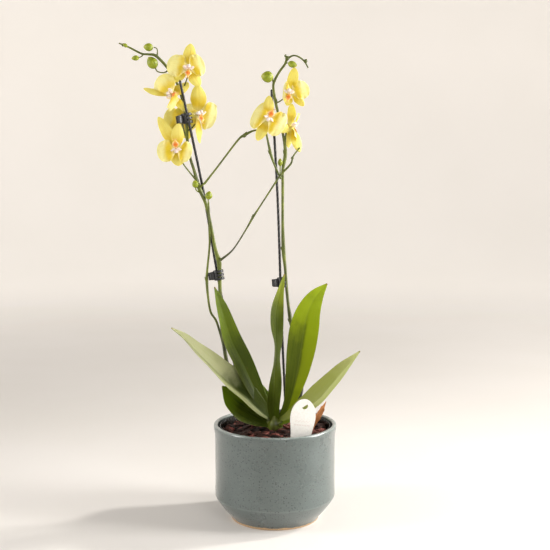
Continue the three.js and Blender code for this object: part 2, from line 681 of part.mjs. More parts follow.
for (const [name, run] of Object.entries(STAKES)) {
  piece(name, 'stake', (grow) => makeStake(run, grow));
}
for (const [name, clip] of Object.entries(CLIPS)) {
  piece(name, 'clip', (grow) => makeClip(clip, grow));
}
piece('tag', 'tag', makeTag);
piece('crown', 'stem', makeCrown);
for (const [name, run] of Object.entries(SPIKES)) {
  piece(name, 'stem', (grow) => makeStem(name, run, 32, grow));
}
for (const [name, run] of Object.entries(BRANCHES)) {
  piece(name, 'stem', (grow) => makeStem(name, run, 16, grow));
}
for (const [name, flower] of Object.entries(FLOWERS)) {
  const shifted = (make) => (grow) => make(grow).translate(flower.at);
  piece(`${name}_lip`, 'lip', shifted((grow) => makeLip(flower, grow)), flower.at);
  piece(`${name}_petals`, 'petal', shifted((grow) => makePerianth(
    flower.petals, flower.face, 0, PETAL_WIDTHS, 0.12, grow)), flower.at);
  piece(`${name}_sepals`, 'petal', shifted((grow) => makePerianth(
    flower.sepals, flower.face, -2.4, SEPAL_WIDTHS, 0.16, grow)), flower.at);
}
for (const [name, bud] of Object.entries(BUDS)) {
  piece(name, 'bud', (grow) => makeBud(bud, grow));
}
for (const name of ['leaf_5', 'leaf_6', 'leaf_2', 'leaf_7', 'leaf_1', 'leaf_3', 'leaf_4', 'leaf_8']) {
  const leaf = LEAVES[name];
  piece(name, 'leaf', (grow) => blade(leaf.run, {
    face: leaf.face, fold: leaf.fold, thickness: LEAF_THICKNESS, steps: 12, around: 8,
  }, grow));
}
piece('sheath', 'dryLeaf', (grow) => blade(SHEATH, {
  face: FRONT, fold: 0.5, thickness: 0.7, steps: 5,
}, grow));
piece('bark_bed', 'bark', makeBark);

// ---------------------------------------------------------------- assembly
function near(a, b) {
  const [p, q] = [a.boundingBox(), b.boundingBox()];
  return [0, 1, 2].every((k) => p.min[k] < q.max[k] && q.min[k] < p.max[k]);
}

const group = new THREE.Group();
group.name = 'potted_orchid';
const placed = [];
for (const { name, colour, make, at = [0, 0, 0], yields } of pieces) {
  let body = make(0);
  if (yields) {
    for (const other of placed) {
      if (near(body, other.room)) {
        body = body.subtract(other.room);
      }
    }
    body = whole(name, body.simplify(SMOOTHING));
  }
  if (colour !== 'glaze' && colour !== 'liner') {
    placed.push({ room: make(GAP) });
  }
  const geometry = toGeometry(body);
  geometry.translate(-at[0], -at[1], -at[2]);
  const [hex, roughness] = COLOURS[colour];
  const mesh = new THREE.Mesh(geometry, new THREE.MeshStandardMaterial({
    color: hex, roughness, metalness: 0,
  }));
  mesh.name = name;
  mesh.position.set(at[0], at[1], at[2]);
  group.add(mesh);
}

export default group;
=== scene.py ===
"""A potted moth orchid with yellow flowers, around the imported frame. Sizes below are in
millimetres. Places repeat those of the frame's own model, apart from the sheath's foot and a
few stalk ends, which reach further here so that no piece floats."""
import math
import random

import bmesh
import bpy
import numpy as np
from mathutils import Matrix, Vector, noise


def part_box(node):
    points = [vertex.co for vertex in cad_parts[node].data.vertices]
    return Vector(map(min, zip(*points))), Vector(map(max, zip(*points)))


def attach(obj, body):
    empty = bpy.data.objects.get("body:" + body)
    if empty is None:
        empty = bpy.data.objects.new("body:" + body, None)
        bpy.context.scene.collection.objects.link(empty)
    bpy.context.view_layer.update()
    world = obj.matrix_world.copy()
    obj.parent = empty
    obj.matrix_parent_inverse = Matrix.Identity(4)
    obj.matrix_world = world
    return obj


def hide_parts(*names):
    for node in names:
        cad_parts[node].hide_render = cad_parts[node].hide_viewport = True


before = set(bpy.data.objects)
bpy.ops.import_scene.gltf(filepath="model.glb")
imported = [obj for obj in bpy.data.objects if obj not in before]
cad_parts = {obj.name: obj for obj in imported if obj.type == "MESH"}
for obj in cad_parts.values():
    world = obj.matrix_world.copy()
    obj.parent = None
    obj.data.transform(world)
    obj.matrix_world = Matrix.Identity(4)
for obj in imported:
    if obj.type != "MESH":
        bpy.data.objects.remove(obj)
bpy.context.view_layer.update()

MM = 0.001
RIM_R, _, POT_HEIGHT = np.array(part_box("pot")[1]) / MM
LINER_TOP_R, _, LINER_TOP_Z = np.array(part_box("nursery_liner")[1]) / MM
BODY_R = RIM_R - 1.5
INNER_R = RIM_R - 4.9
FOOT_R = 51.8
ARRIS_Z = 27.6
FLOOR_Z = 8
BARK_Z = 104.6
BARK_R = 60.6
BARK_FLOOR_Z = FLOOR_Z + 1.5
CHIPS = 290
CLAY_LINE_Z = 2.6
STAGE_R = 2600
STAGE_CURVE_R = 900
STAGE_WALL_Z = 2600
STAGE_SIDES = 96
WALL_GLOW = 0.45
SKY_TINT = (1.0, 0.98, 0.96, 1)
SKY_STRENGTH = 0.3
CAMERA_AT = (0, -1.2, 0.415)  # in metres, as for the lamps
CAMERA_PITCH = 5.98  # degrees down
LENS = 67.7


# ------------------------------------------------------------------ camera
def make_camera():
    camera = bpy.data.cameras.new("camera")
    camera.sensor_width = 36
    camera.lens = LENS
    camera.clip_start = 0.05
    holder = bpy.data.objects.new("camera", camera)
    holder.location = CAMERA_AT
    holder.rotation_euler = (math.radians(90 - CAMERA_PITCH), 0, 0)
    bpy.context.scene.collection.objects.link(holder)
    bpy.context.scene.camera = holder


make_camera()


# ------------------------------------------------------------------ shader building
def colour(r, g, b):
    """A linear colour from its 0 to 255 screen values."""
    def straight(v):
        v /= 255
        return v / 12.92 if v <= 0.04045 else ((v + 0.055) / 1.055) ** 2.4
    return (straight(r), straight(g), straight(b), 1.0)


class Shader:
    """A material and short calls that add its nodes. Each call returns an output socket."""

    def __init__(self, name):
        self.material = bpy.data.materials.new(name)
        self.material.use_nodes = True
        self.tree = self.material.node_tree
        self.tree.nodes.clear()

    def node(self, kind, sockets=None, **settings):
        made = self.tree.nodes.new("ShaderNode" + kind)
        for key, value in settings.items():
            setattr(made, key, value)
        for key, value in (sockets or {}).items():
            self.feed(made.inputs[key], value)
        return made

    def feed(self, socket, value):
        if isinstance(value, bpy.types.NodeSocket):
            self.tree.links.new(value, socket)
        else:
            socket.default_value = value

    def place(self):
        return self.node("TexCoord").outputs["Object"]

    def where(self):
        """Across, along and side of a blade, as three sockets."""
        return self.axes(self.node("Attribute", attribute_name="where").outputs["Vector"])

    def axes(self, vector):
        return self.node("SeparateXYZ", {0: vector}).outputs

    def vector(self, x, y, z=0.0):
        return self.node("CombineXYZ", {0: x, 1: y, 2: z}).outputs[0]

    def maths(self, operation, a, b=0.0):
        return self.node("Math", {0: a, 1: b}, operation=operation).outputs[0]

    def times(self, a, b):
        return self.maths("MULTIPLY", a, b)

    def plus(self, a, b):
        return self.maths("ADD", a, b)

    def absolute(self, value):
        return self.maths("ABSOLUTE", value)

    def span(self, value, low, high, to_low=0.0, to_high=1.0):
        """value brought from low..high to to_low..to_high, smoothly, and clamped."""
        return self.node("MapRange", {0: value, 1: low, 2: high, 3: to_low, 4: to_high},
                         interpolation_type="SMOOTHSTEP").outputs[0]

    def stretch(self, vector, scale):
        return self.node("Mapping", {"Vector": vector, "Scale": scale}).outputs[0]

    def noise(self, vector, scale, detail=3.0, roughness=0.55, distortion=0.0):
        return self.node("TexNoise", {"Vector": vector, "Scale": scale, "Detail": detail,
                                      "Roughness": roughness, "Distortion": distortion}).outputs[0]

    def spots(self, vector, scale, size, soft=0.3, keep=1.0):
        """1 inside round spots on some of the cells of that scale, 0 outside."""
        cells = self.node("TexVoronoi", {"Vector": vector, "Scale": scale})
        near = self.span(cells.outputs["Distance"], size * (1 - soft), size, 1.0, 0.0)
        chance = self.axes(cells.outputs["Color"])[0]
        return self.times(near, self.maths("LESS_THAN", chance, keep))

    def mix(self, share, a, b):
        made = self.node("Mix", data_type="RGBA")
        for index, value in ((0, share), (6, a), (7, b)):
            self.feed(made.inputs[index], value)
        return made.outputs[2]

    def tint(self, tone, screen, cover, *span):
        """tone under a screen colour, by the share in cover or in its span."""
        return self.mix(self.span(cover, *span) if span else cover, tone, colour(*screen))

    def ramp(self, value, stops):
        """A colour ramp from (position, screen colour) stops."""
        made = self.node("ValToRGB", {0: value})
        elements = made.color_ramp.elements
        while len(elements) < len(stops):
            elements.new(0.5)
        for element, (position, tint) in zip(elements, stops):
            element.position = position
            element.color = colour(*tint)
        return made.outputs[0]

    def bump(self, height, strength, distance, under=None):
        sockets = {"Height": height, "Strength": strength, "Distance": distance}
        if under is not None:
            sockets["Normal"] = under
        return self.node("Bump", sockets).outputs[0]

    def finish(self, tone, rough, relief=None, through=None, share=0.0, **more):
        """Ends the material as a Principled surface. more holds its other sockets, with their
        spaces as underscores. Where through is a tint, that share of light comes through."""
        sockets = {"Base Color": tone, "Roughness": rough}
        sockets.update((key.replace("_", " "), value) for key, value in more.items())
        if relief is not None:
            sockets["Normal"] = relief
        out = self.node("BsdfPrincipled", sockets).outputs[0]
        if through is not None:
            leaf = self.node("BsdfTranslucent", {"Color": through, "Normal": relief})
            out = self.node("MixShader", {0: share, 1: out, 2: leaf.outputs[0]}).outputs[0]
        self.node("OutputMaterial", {"Surface": out})
        return self.material


# ------------------------------------------------------------------ materials
def glaze_material():
    s = Shader("speckled_glaze")
    place = s.place()
    height = s.axes(place)[2]
    cloud = s.noise(place, 26, 4)
    tone = s.ramp(cloud, [(0.3, (76, 87, 85)), (0.52, (80, 91, 89)), (0.72, (84, 95, 93))])
    band = s.noise(s.stretch(place, (1, 1, 5)), 40, 2)
    tone = s.tint(tone, (104, 115, 112), band, 0.45, 0.75, 0, 0.1)
    off_arris = s.absolute(s.maths("SUBTRACT", height, ARRIS_Z * MM))
    rim = s.span(height, (POT_HEIGHT - 2.2) * MM, POT_HEIGHT * MM, 0.0, 0.6)
    thin = s.maths("MAXIMUM", s.span(off_arris, 0.0004, 0.0016, 0.16, 0.0), rim)
    tone = s.tint(tone, (150, 160, 156), thin)
    dark_small = s.spots(place, 560, 0.32, 0.4, 0.4)
    dark_large = s.spots(s.stretch(place, (1, 1, 1.3)), 330, 0.3, 0.4, 0.42)
    pale = s.spots(place, 640, 0.3, 0.5, 0.3)
    tone = s.tint(tone, (44, 52, 51), s.times(dark_small, 0.85))
    tone = s.tint(tone, (128, 140, 137), s.times(pale, 0.4))
    tone = s.tint(tone, (22, 28, 27), s.times(dark_large, 0.95))
    edge = s.plus(height, s.span(s.noise(place, 60, 3), 0.3, 0.7, -0.0008, 0.0008))
    bare = s.span(edge, CLAY_LINE_Z * MM, (CLAY_LINE_Z + 0.5) * MM, 1.0, 0.0)
    grit = s.noise(place, 900, 4, 0.7)
    clay = s.ramp(grit, [(0.3, (150, 118, 84)), (0.7, (196, 164, 124))])
    tone = s.mix(bare, tone, clay)
    rough = s.span(cloud, 0.3, 0.7, 0.26, 0.36)
    rough = s.plus(rough, s.times(bare, 0.4))
    peel = s.bump(s.noise(place, 320, 3, 0.6), 0.16, 0.0005)
    pits = s.bump(s.times(dark_large, -1.0), 0.3, 0.0003, peel)
    return s.finish(tone, rough, pits, IOR=1.6, Coat_Weight=0.7, Coat_Roughness=0.2)


def liner_material():
    s = Shader("clear_grow_pot")
    place = s.place()
    haze = s.noise(place, 90, 3)
    tone = s.ramp(haze, [(0.3, (60, 56, 48)), (0.7, (84, 80, 70))])
    return s.finish(tone, s.span(haze, 0.3, 0.7, 0.16, 0.3), s.bump(haze, 0.1, 0.0005),
                    Transmission_Weight=0.85, IOR=1.3)


def bark_material(name, stops):
    s = Shader(name)
    place = s.place()
    across, along, other = s.where()  # three random numbers for each chip
    drift = s.vector(across, along, other)
    spot = s.node("VectorMath", {0: place, 1: drift}, operation="ADD").outputs[0]
    grain = s.noise(s.stretch(spot, (1, 1, 4)), 260, 5, 0.65, 0.6)
    coarse = s.noise(spot, 90, 3)
    tone = s.ramp(s.plus(s.times(across, 0.72), s.times(coarse, 0.28)), stops)
    tone = s.tint(tone, (28, 13, 9), grain, 0.5, 0.75, 0, 0.55)
    tone = s.tint(tone, (196, 132, 108), grain, 0.44, 0.25, 0, 0.3)
    rise = s.plus(grain, s.times(coarse, 0.6))
    return s.finish(tone, s.span(grain, 0.3, 0.8, 0.7, 0.95), s.bump(rise, 0.8, 0.0012),
                    Specular_IOR_Level=0.25)


def leaf_material(name, low, high, rise, shade, edge, top):
    """low turns to high where rise of the length is passed, a painted change from a shaded foot to
    a lit upper blade;
    shade is a painted shadow over the part of the blade before edge across and before top along,
    where the fold turns it down."""
    s = Shader(name)
    across, along, side = s.where()
    place = s.place()
    out = s.absolute(across)
    grid = s.vector(across, s.times(along, 0.35), side)
    blotch = s.noise(place, 38, 4, 0.6)
    stray = s.span(blotch, 0.25, 0.75, -0.06, 0.06)
    fibre = s.noise(s.stretch(grid, (26, 2.2, 1)), 3.2, 3, 0.6)
    # painted light: the blade turns from its shaded low tone to its lit high tone along its length
    painted_light_rise = s.span(s.plus(along, stray), rise - 0.12, rise + 0.12)
    tone = s.mix(painted_light_rise, low, high)
    # painted shadow in the fold: the shade tone laid before edge across and before top along
    painted_fold_shadow = s.times(s.span(s.plus(across, stray), edge - 0.12, edge + 0.12, 1.0, 0.0),
                     s.span(s.plus(along, stray), top - 0.2, top + 0.1, 1.0, 0.0))
    tone = s.mix(s.times(painted_fold_shadow, 0.8), tone, shade)
    tone = s.tint(tone, (164, 176, 48), fibre, 0.42, 0.66, 0, 0.28)
    tone = s.mix(s.span(blotch, 0.5, 0.75, 0, 0.25), tone, shade)
    tone = s.tint(tone, (104, 128, 40), side, -0.3, 0.3, 0.4, 0.0)
    midrib = s.span(out, 0.0, 0.06, 1.0, 0.0)
    tone = s.tint(tone, (136, 156, 60), s.times(midrib, 0.3))
    tone = s.tint(tone, (168, 172, 100), out, 0.965, 0.995, 0.0, 0.7)
    tone = s.tint(tone, (96, 116, 36), along, 0.0, 0.14, 0.5, 0.0)
    tone = s.tint(tone, (122, 84, 40), along, 0.975, 1.0, 0.0, 0.85)
    scar = s.times(s.spots(place, 120, 0.18, 0.6, 0.12), 0.4)
    tone = s.tint(tone, (120, 100, 44), scar)
    lines = s.plus(fibre, s.times(s.noise(place, 700, 2), 0.25))
    relief = s.bump(lines, 0.35, 0.0005)
    rough = s.span(blotch, 0.3, 0.7, 0.32, 0.46)
    # the light coming through also follows the painted light rise and dims under the painted fold
    # shadow
    glow = s.mix(painted_light_rise, colour(116, 150, 2), colour(176, 204, 8))
    glow = s.mix(painted_fold_shadow, glow, colour(56, 92, 2))
    return s.finish(tone, rough, relief, glow, 0.3, Specular_IOR_Level=0.2, Coat_Weight=0.03,
                    Coat_Roughness=0.3)


def petal_material(name, deep, pale, throat):
    """deep near the heart to pale at the margins, with veins; throat is the colour at the root."""
    s = Shader(name)
    across, along, side = s.where()
    place = s.place()
    out = s.absolute(across)
    fan = s.vector(s.times(across, s.plus(0.35, along)), along, side)
    vein = s.noise(s.stretch(fan, (15, 1.3, 1)), 3.0, 4, 0.65, 0.4)
    cloud = s.noise(place, 60, 3)
    opening = s.plus(s.span(along, 0.2, 0.75, -0.2, 0.4), cloud)
    tone = s.mix(s.span(opening, 0.35, 0.9), deep, pale)
    tone = s.tint(tone, (222, 196, 54), vein, 0.5, 0.7, 0.0, 0.2)
    tone = s.mix(s.span(out, 0.72, 1.0, 0.0, 0.55), tone, pale)
    heart = s.span(along, 0.05, 0.3, 0.9, 0.0)
    tone = s.mix(heart, tone, throat)
    tone = s.tint(tone, (222, 208, 104), side, -0.3, 0.3, 0.3, 0.0)
    relief = s.bump(vein, 0.3, 0.0004, s.bump(s.noise(place, 1400, 2), 0.12, 0.0002))
    glow = s.mix(s.span(vein, 0.4, 0.7), colour(250, 248, 140), colour(240, 228, 88))
    return s.finish(tone, 0.5, relief, glow, 0.4, Sheen_Weight=0.25, Sheen_Roughness=0.4,
                    Specular_IOR_Level=0.35, Subsurface_Weight=0.1,
                    Subsurface_Radius=(0.002, 0.002, 0.001), Subsurface_Scale=0.5)


def lip_material():
    s = Shader("orange_lip")
    across, along, _ = s.where()
    place = s.place()
    out = s.absolute(across)
    tone = s.ramp(along, [(0.0, (250, 242, 206)), (0.22, (246, 190, 70)),
                          (0.5, (232, 112, 30)), (0.8, (248, 206, 104))])
    tone = s.tint(tone, (250, 234, 178), out, 0.35, 0.95, 0.0, 0.9)
    freckle = s.spots(place, 900, 0.36, 0.5, 0.7)
    near = s.span(along, 0.5, 0.1, 0.0, 0.9)
    tone = s.tint(tone, (176, 30, 16), s.times(freckle, near))
    stripe = s.noise(s.stretch(s.vector(across, along), (9, 0.8, 1)), 3.0, 2)
    tone = s.tint(tone, (206, 58, 18), stripe, 0.55, 0.68, 0.0, 0.55)
    relief = s.bump(s.noise(place, 1300, 3), 0.25, 0.0003)
    return s.finish(tone, 0.42, relief, colour(255, 196, 70), 0.2, Subsurface_Weight=0.15,
                    Subsurface_Radius=(0.004, 0.002, 0.001), Subsurface_Scale=0.5)


def column_material():
    s = Shader("column_white")
    along = s.where()[1]
    place = s.place()
    tone = s.ramp(along, [(0.0, (250, 232, 190)), (0.4, (252, 246, 236)), (1.0, (250, 232, 226))])
    stripe = s.noise(place, 420, 3)
    near = s.span(along, 0.55, 0.1, 0.0, 0.85)
    tone = s.tint(tone, (240, 168, 60), s.times(s.span(stripe, 0.5, 0.6), near))
    blush = s.span(s.noise(place, 210, 2), 0.5, 0.7, 0.0, 0.25)
    tone = s.tint(tone, (238, 176, 176), blush)
    return s.finish(tone, 0.42, s.bump(s.noise(place, 1200, 2), 0.15, 0.0002),
                    colour(255, 244, 224), 0.22, Subsurface_Weight=0.2,
                    Subsurface_Radius=(0.004, 0.003, 0.002), Subsurface_Scale=0.5)


def stem_material(name, green, dark, painted_shade_low, painted_shade_high):
    """Green stem, darkened by painted shade where its height runs from painted_shade_high down to
    painted_shade_low.
    """
    s = Shader(name)
    place = s.place()
    height = s.axes(place)[2]
    fleck = s.noise(s.stretch(place, (1, 1, 0.16)), 900, 4, 0.6)
    cloud = s.noise(place, 70, 3)
    tone = s.mix(s.span(cloud, 0.32, 0.68), green, colour(104, 114, 24))
    tone = s.mix(s.span(fleck, 0.52, 0.7, 0.0, 0.5), tone, dark)
    # painted shade: the stem darkens towards its foot
    shade = s.span(s.plus(height, s.span(cloud, 0.3, 0.7, -0.02, 0.02)),
                   painted_shade_low * MM, painted_shade_high * MM, 0.85, 0.0)
    tone = s.tint(tone, (34, 32, 20), shade)
    speck = s.spots(place, 1100, 0.26, 0.5, 0.3)
    tone = s.tint(tone, (70, 62, 40), s.times(speck, 0.35))
    relief = s.bump(fleck, 0.35, 0.0004)
    return s.finish(tone, s.span(cloud, 0.3, 0.7, 0.38, 0.52), relief, Subsurface_Weight=0.05,
                    Subsurface_Radius=(0.002, 0.002, 0.001), Subsurface_Scale=0.5, Coat_Weight=0.1,
                    Coat_Roughness=0.3)


def bud_material():
    s = Shader("green_bud")
    across, along, _ = s.where()
    place = s.place()
    seam = s.span(s.absolute(s.maths("SINE", s.times(across, 3 * math.pi))), 0.0, 0.25, 1.0, 0.0)
    cloud = s.noise(place, 160, 3)
    streak = s.noise(s.stretch(s.vector(across, along), (16, 1.2, 1)), 3.0, 3)
    tone = s.mix(s.span(cloud, 0.3, 0.7), colour(128, 142, 14), colour(158, 168, 36))
    tone = s.tint(tone, (102, 114, 8), streak, 0.5, 0.7, 0.0, 0.35)
    tone = s.tint(tone, (82, 92, 4), s.times(seam, 0.55))
    tone = s.tint(tone, (214, 206, 92), along, 0.7, 1.0, 0.0, 0.45)
    return s.finish(tone, 0.42, s.bump(streak, 0.25, 0.0004), colour(206, 210, 40), 0.1,
                    Subsurface_Weight=0.12, Subsurface_Radius=(0.003, 0.003, 0.001),
                    Subsurface_Scale=0.6, Coat_Weight=0.1, Coat_Roughness=0.3)


def plastic_material(name, tint, rough, scale):
    """Dark moulded plastic or wire, with faint smears; scale is that of its fine grain."""
    s = Shader(name)
    place = s.place()
    smear = s.noise(place, 60, 3)
    paler = (*(1.6 * c + 0.002 for c in tint[:3]), 1)
    tone = s.mix(s.span(smear, 0.35, 0.7, 0.0, 0.6), tint, paler)
    mould = s.noise(place, scale, 3, 0.6)
    return s.finish(tone, s.span(smear, 0.3, 0.7, rough, rough + 0.14),
                    s.bump(mould, 0.14, 0.0004), IOR=1.48, Coat_Weight=0.2, Coat_Roughness=0.2)


def tag_material():
    """White label plastic with a faint made-up motif: a wavy line over a row of strokes."""
    s = Shader("label_white")
    across, along, side = s.where()
    place = s.place()
    grain = s.noise(place, 500, 3)
    tone = s.mix(s.span(grain, 0.3, 0.7), colour(240, 238, 232), colour(250, 249, 245))
    sway = s.times(s.maths("SINE", s.times(across, 1.7)), 0.7)
    line = s.absolute(s.maths("SUBTRACT", s.maths("SUBTRACT", along, 15.6), sway))
    line = s.times(s.span(line, 0.12, 0.3, 1.0, 0.0),
                   s.span(s.absolute(across), 8.2, 8.6, 1.0, 0.0))
    strokes = s.span(s.maths("SINE", s.times(across, 3.3)), 0.1, 0.4)
    row = s.span(s.absolute(s.maths("SUBTRACT", along, 11.2)), 0.7, 0.85, 1.0, 0.0)
    row = s.times(row, s.span(s.absolute(across), 9.2, 9.4, 1.0, 0.0))
    marks = s.times(s.maths("MAXIMUM", line, s.times(strokes, row)), 0.42)
    front = s.span(side, 0.2, 0.4)
    tone = s.tint(tone, (196, 150, 142), s.times(marks, front))
    return s.finish(tone, 0.45, s.bump(grain, 0.08, 0.0003), colour(255, 250, 236), 0.12,
                    Coat_Weight=0.1, Coat_Roughness=0.35)


def dry_material():
    s = Shader("dry_sheath")
    across, along, _ = s.where()
    fibre = s.noise(s.stretch(s.vector(across, along), (14, 1.2, 1)), 3.0, 4, 0.65)
    tone = s.ramp(fibre, [(0.3, (112, 62, 28)), (0.55, (172, 112, 60)), (0.8, (214, 170, 116))])
    return s.finish(tone, 0.8, s.bump(fibre, 0.7, 0.0008), colour(206, 134, 66), 0.2)


def stage_material():
    """Pale paper, a little luminous where it rises into the wall, so that it stays even."""
    s = Shader("pale_paper")
    place = s.place()
    soft = s.noise(place, 3, 2)
    tone = s.mix(s.span(soft, 0.3, 0.7), colour(222, 218, 213), colour(225, 221, 217))
    far = s.node("VectorMath", {0: place}, operation="LENGTH").outputs["Value"]
    back = s.span(s.axes(place)[1], -1.2, 0.6, 0.5, 1.0)
    glow = s.times(s.span(far, 0.3, 2.6, 0.0, WALL_GLOW), back)
    return s.finish(tone, 0.9, Specular_IOR_Level=0.1, Emission_Color=colour(244, 238, 230),
                    Emission_Strength=glow)


# ------------------------------------------------------------------ mesh building
class Mesh:
    """Points in millimetres, faces, a (across, along, side) note on each point and a material
    number on each face, gathered from several shells."""

    def __init__(self):
        self.points = []
        self.faces = []
        self.where = []
        self.slots = []

    def add(self, points, faces, where=None, slot=0):
        first = len(self.points)
        self.points.extend(tuple(p) for p in points)
        self.faces.extend(tuple(first + i for i in face) for face in faces)
        self.where.extend(where if where is not None else [(0.0, 0.0, 1.0)] * len(points))
        self.slots.extend([slot] * len(faces))
        return self

    def loft(self, rings, where=None, slot=0, ends=True):
        """A skin over rings of equal length, shut at both ends with a fan if ends is true."""
        rings = np.asarray(rings, float)
        count, around = rings.shape[:2]
        points = list(rings.reshape(-1, 3))
        notes = None if where is None else [tuple(w) for w in np.asarray(where).reshape(-1, 3)]
        faces = []
        for i in range(count - 1):
            for j in range(around):
                k = (j + 1) % around
                faces.append((i * around + j, i * around + k,
                              (i + 1) * around + k, (i + 1) * around + j))
        if ends:
            for row, turn in ((0, -1), (count - 1, 1)):
                points.append(rings[row].mean(axis=0))
                if notes is not None:
                    notes.append(tuple(np.asarray(where)[row].mean(axis=0)))
                middle = len(points) - 1
                for j in range(around):
                    pair = (row * around + j, row * around + (j + 1) % around)
                    faces.append((*pair[::turn], middle))
        return self.add(points, faces, notes, slot)

    def object(self, name, *materials, smooth=True):
        data = bpy.data.meshes.new(name)
        data.from_pydata([tuple(c * MM for c in p) for p in self.points], [], self.faces)
        notes = data.attributes.new("where", "FLOAT_VECTOR", "POINT")
        notes.data.foreach_set("vector", np.array(self.where, np.float32).ravel())
        for material in materials:
            data.materials.append(material)
        data.polygons.foreach_set("material_index", self.slots)
        data.polygons.foreach_set("use_smooth", [smooth] * len(self.faces))
        made = bpy.data.objects.new(name, data)
        bpy.context.scene.collection.objects.link(made)
        edit = bmesh.new()
        edit.from_mesh(data)
        bmesh.ops.recalc_face_normals(edit, faces=edit.faces)
        edit.to_mesh(data)
        edit.free()
        return made


def install(made, node):
    """The piece stands for its CAD node and rides with the one body."""
    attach(made, "root")
    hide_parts(node)
    return made


def applied(made):
    """Applies the modifiers of an object to its mesh."""
    seen = made.evaluated_get(bpy.context.evaluated_depsgraph_get())
    data = bpy.data.meshes.new_from_object(seen)
    made.modifiers.clear()
    made.data = data
    return made


FOLD_POWER = 1.4  # 1 folds a blade to a sharp V, 2 to a round channel


def unit(v):
    v = np.asarray(v, float)
    return v / np.maximum(np.linalg.norm(v, axis=-1, keepdims=True), 1e-12)


def smooth_run(stations, t):
    """Catmull-Rom values and slopes of rows of numbers at each t from 0 to 1."""
    rows = np.asarray(stations, float)
    rows = np.vstack([2 * rows[0] - rows[1], rows, 2 * rows[-1] - rows[-2]])
    t = np.asarray(t, float)
    place = np.clip(t, 0, 1) * (len(rows) - 3)
    cell = np.minimum(place.astype(int), len(rows) - 4)
    u = (place - cell)[:, None]
    a, b, c, d = rows[cell], rows[cell + 1], rows[cell + 2], rows[cell + 3]
    value = 0.5 * (2 * b + (c - a) * u + (2 * a - 5 * b + 4 * c - d) * u**2
                   + (3 * b - 3 * c + d - a) * u**3)
    slope = 0.5 * ((c - a) + 2 * (2 * a - 5 * b + 4 * c - d) * u
                   + 3 * (3 * b - 3 * c + d - a) * u**2)
    return value, slope


def turned(v, axis, angle):
    """Vectors v turned about unit axes by angles in radians."""
    angle = np.asarray(angle)[..., None]
    dot = (v * axis).sum(axis=-1, keepdims=True)
    return v * np.cos(angle) + np.cross(axis, v) * np.sin(angle) + axis * dot * (1 - np.cos(angle))


def add_tube(mesh, stations, steps, around=14, slot=0):
    """A tapering round stem through rows of x, y, z, radius."""
    t = np.linspace(0, 1, steps + 1)
    value, slope = smooth_run(stations, t)
    along = unit(slope[:, :3])
    across = unit(np.cross(along, [0.03, 1, 0.2]))
    out = np.cross(across, along)
    turn = np.linspace(0, 2 * math.pi, around, endpoint=False)
    ring = (across[:, None] * np.cos(turn)[None, :, None]
            + out[:, None] * np.sin(turn)[None, :, None])
    rings = value[:, None, :3] + ring * np.maximum(value[:, 3], 0.05)[:, None, None]
    share = np.linspace(0, 1, around, endpoint=False)
    where = np.stack(np.broadcast_arrays(share[None, :], t[:, None], np.ones((1, 1))), axis=-1)
    return mesh.loft(rings, where, slot)


def add_blade(mesh, stations, face, thickness, steps, around, fold=0.0, shape=None,
              ruffle=(0.0, 3.0, 0.0), cup=0.0, groove=0.0, slot=0):
    """A leaf or petal: a closed skin around a run of x, y, z, half width, roll.
    fold lifts both sides to a V; shape(t) multiplies the half width; ruffle is the height,
    waves along and phase of the margin's wave; cup curls the margins towards the face; groove
    sinks the midrib."""
    u = np.linspace(0, 1, steps + 1)
    t = 0.35 * u + 0.65 * 0.5 * (1 - np.cos(math.pi * u))
    value, slope = smooth_run(stations, t)
    along = unit(slope[:, :3])
    across = unit(np.cross(along, unit(face)))
    up = np.cross(across, along)
    roll = np.radians(value[:, 4])
    across, up = turned(across, along, roll), turned(up, along, roll)
    width = np.maximum(value[:, 3], 0.15)
    if shape is not None:
        width = width * np.maximum(shape(t), 0.02)
    turn = np.linspace(0, 2 * math.pi, around, endpoint=False)
    s = np.cos(turn)[None, :]
    tt = t[:, None]
    lift = fold * width[:, None] * np.abs(s) ** FOLD_POWER + cup * width[:, None] * s**2
    height, waves, phase = ruffle
    wave = np.sin(2 * math.pi * waves * tt + phase + 2.1 * np.sign(s))
    wave = wave + 0.5 * np.sin(2 * math.pi * waves * 2.3 * tt + 1.7 * phase - 0.9 * np.sign(s))
    body = np.clip(tt * 5, 0, 1) * np.clip((1 - tt) * 5, 0, 1)
    lift = lift + height * wave * np.abs(s) ** 3 * body
    midrib = np.exp(-(s / 0.07) ** 2)
    lift = lift - groove * midrib * np.clip(tt * 8, 0, 1) * np.clip((1 - tt) * 6, 0, 1)
    taper = 0.55 + 0.45 * np.clip((1 - tt) * 4, 0, 1)
    half = 0.5 * thickness * taper * (1 - 0.45 * s**2)
    skin = half * np.sign(np.sin(turn))[None, :] * np.abs(np.sin(turn))[None, :] ** 0.7
    rings = (value[:, None, :3] + across[:, None] * (width[:, None] * s)[..., None]
             + up[:, None] * (lift + skin)[..., None])
    where = np.stack(np.broadcast_arrays(s, tt, np.sin(turn)[None, :]), axis=-1)
    return mesh.loft(rings, where, slot)


def fused(name, mesh, voxel, material, smooth_steps=3):
    """One skin around overlapping shells, with soft joints between them."""
    made = mesh.object(name, material)
    remesh = made.modifiers.new("fuse", "REMESH")
    remesh.mode = "VOXEL"
    remesh.voxel_size = voxel * MM
    remesh.use_smooth_shade = True
    relax = made.modifiers.new("relax", "SMOOTH")
    relax.iterations = smooth_steps
    relax.factor = 0.5
    return applied(made)


def joined(name, *objects):
    """Joins finished objects into the first and gives it the name."""
    with bpy.context.temp_override(active_object=objects[0], object=objects[0],
                                   selected_objects=list(objects),
                                   selected_editable_objects=list(objects)):
        bpy.ops.object.join()
    objects[0].name = name
    return objects[0]


def circle(radius, sides, height=0.0):
    turn = np.linspace(0, 2 * math.pi, sides, endpoint=False)
    return [(radius * math.cos(a), radius * math.sin(a), height) for a in turn]


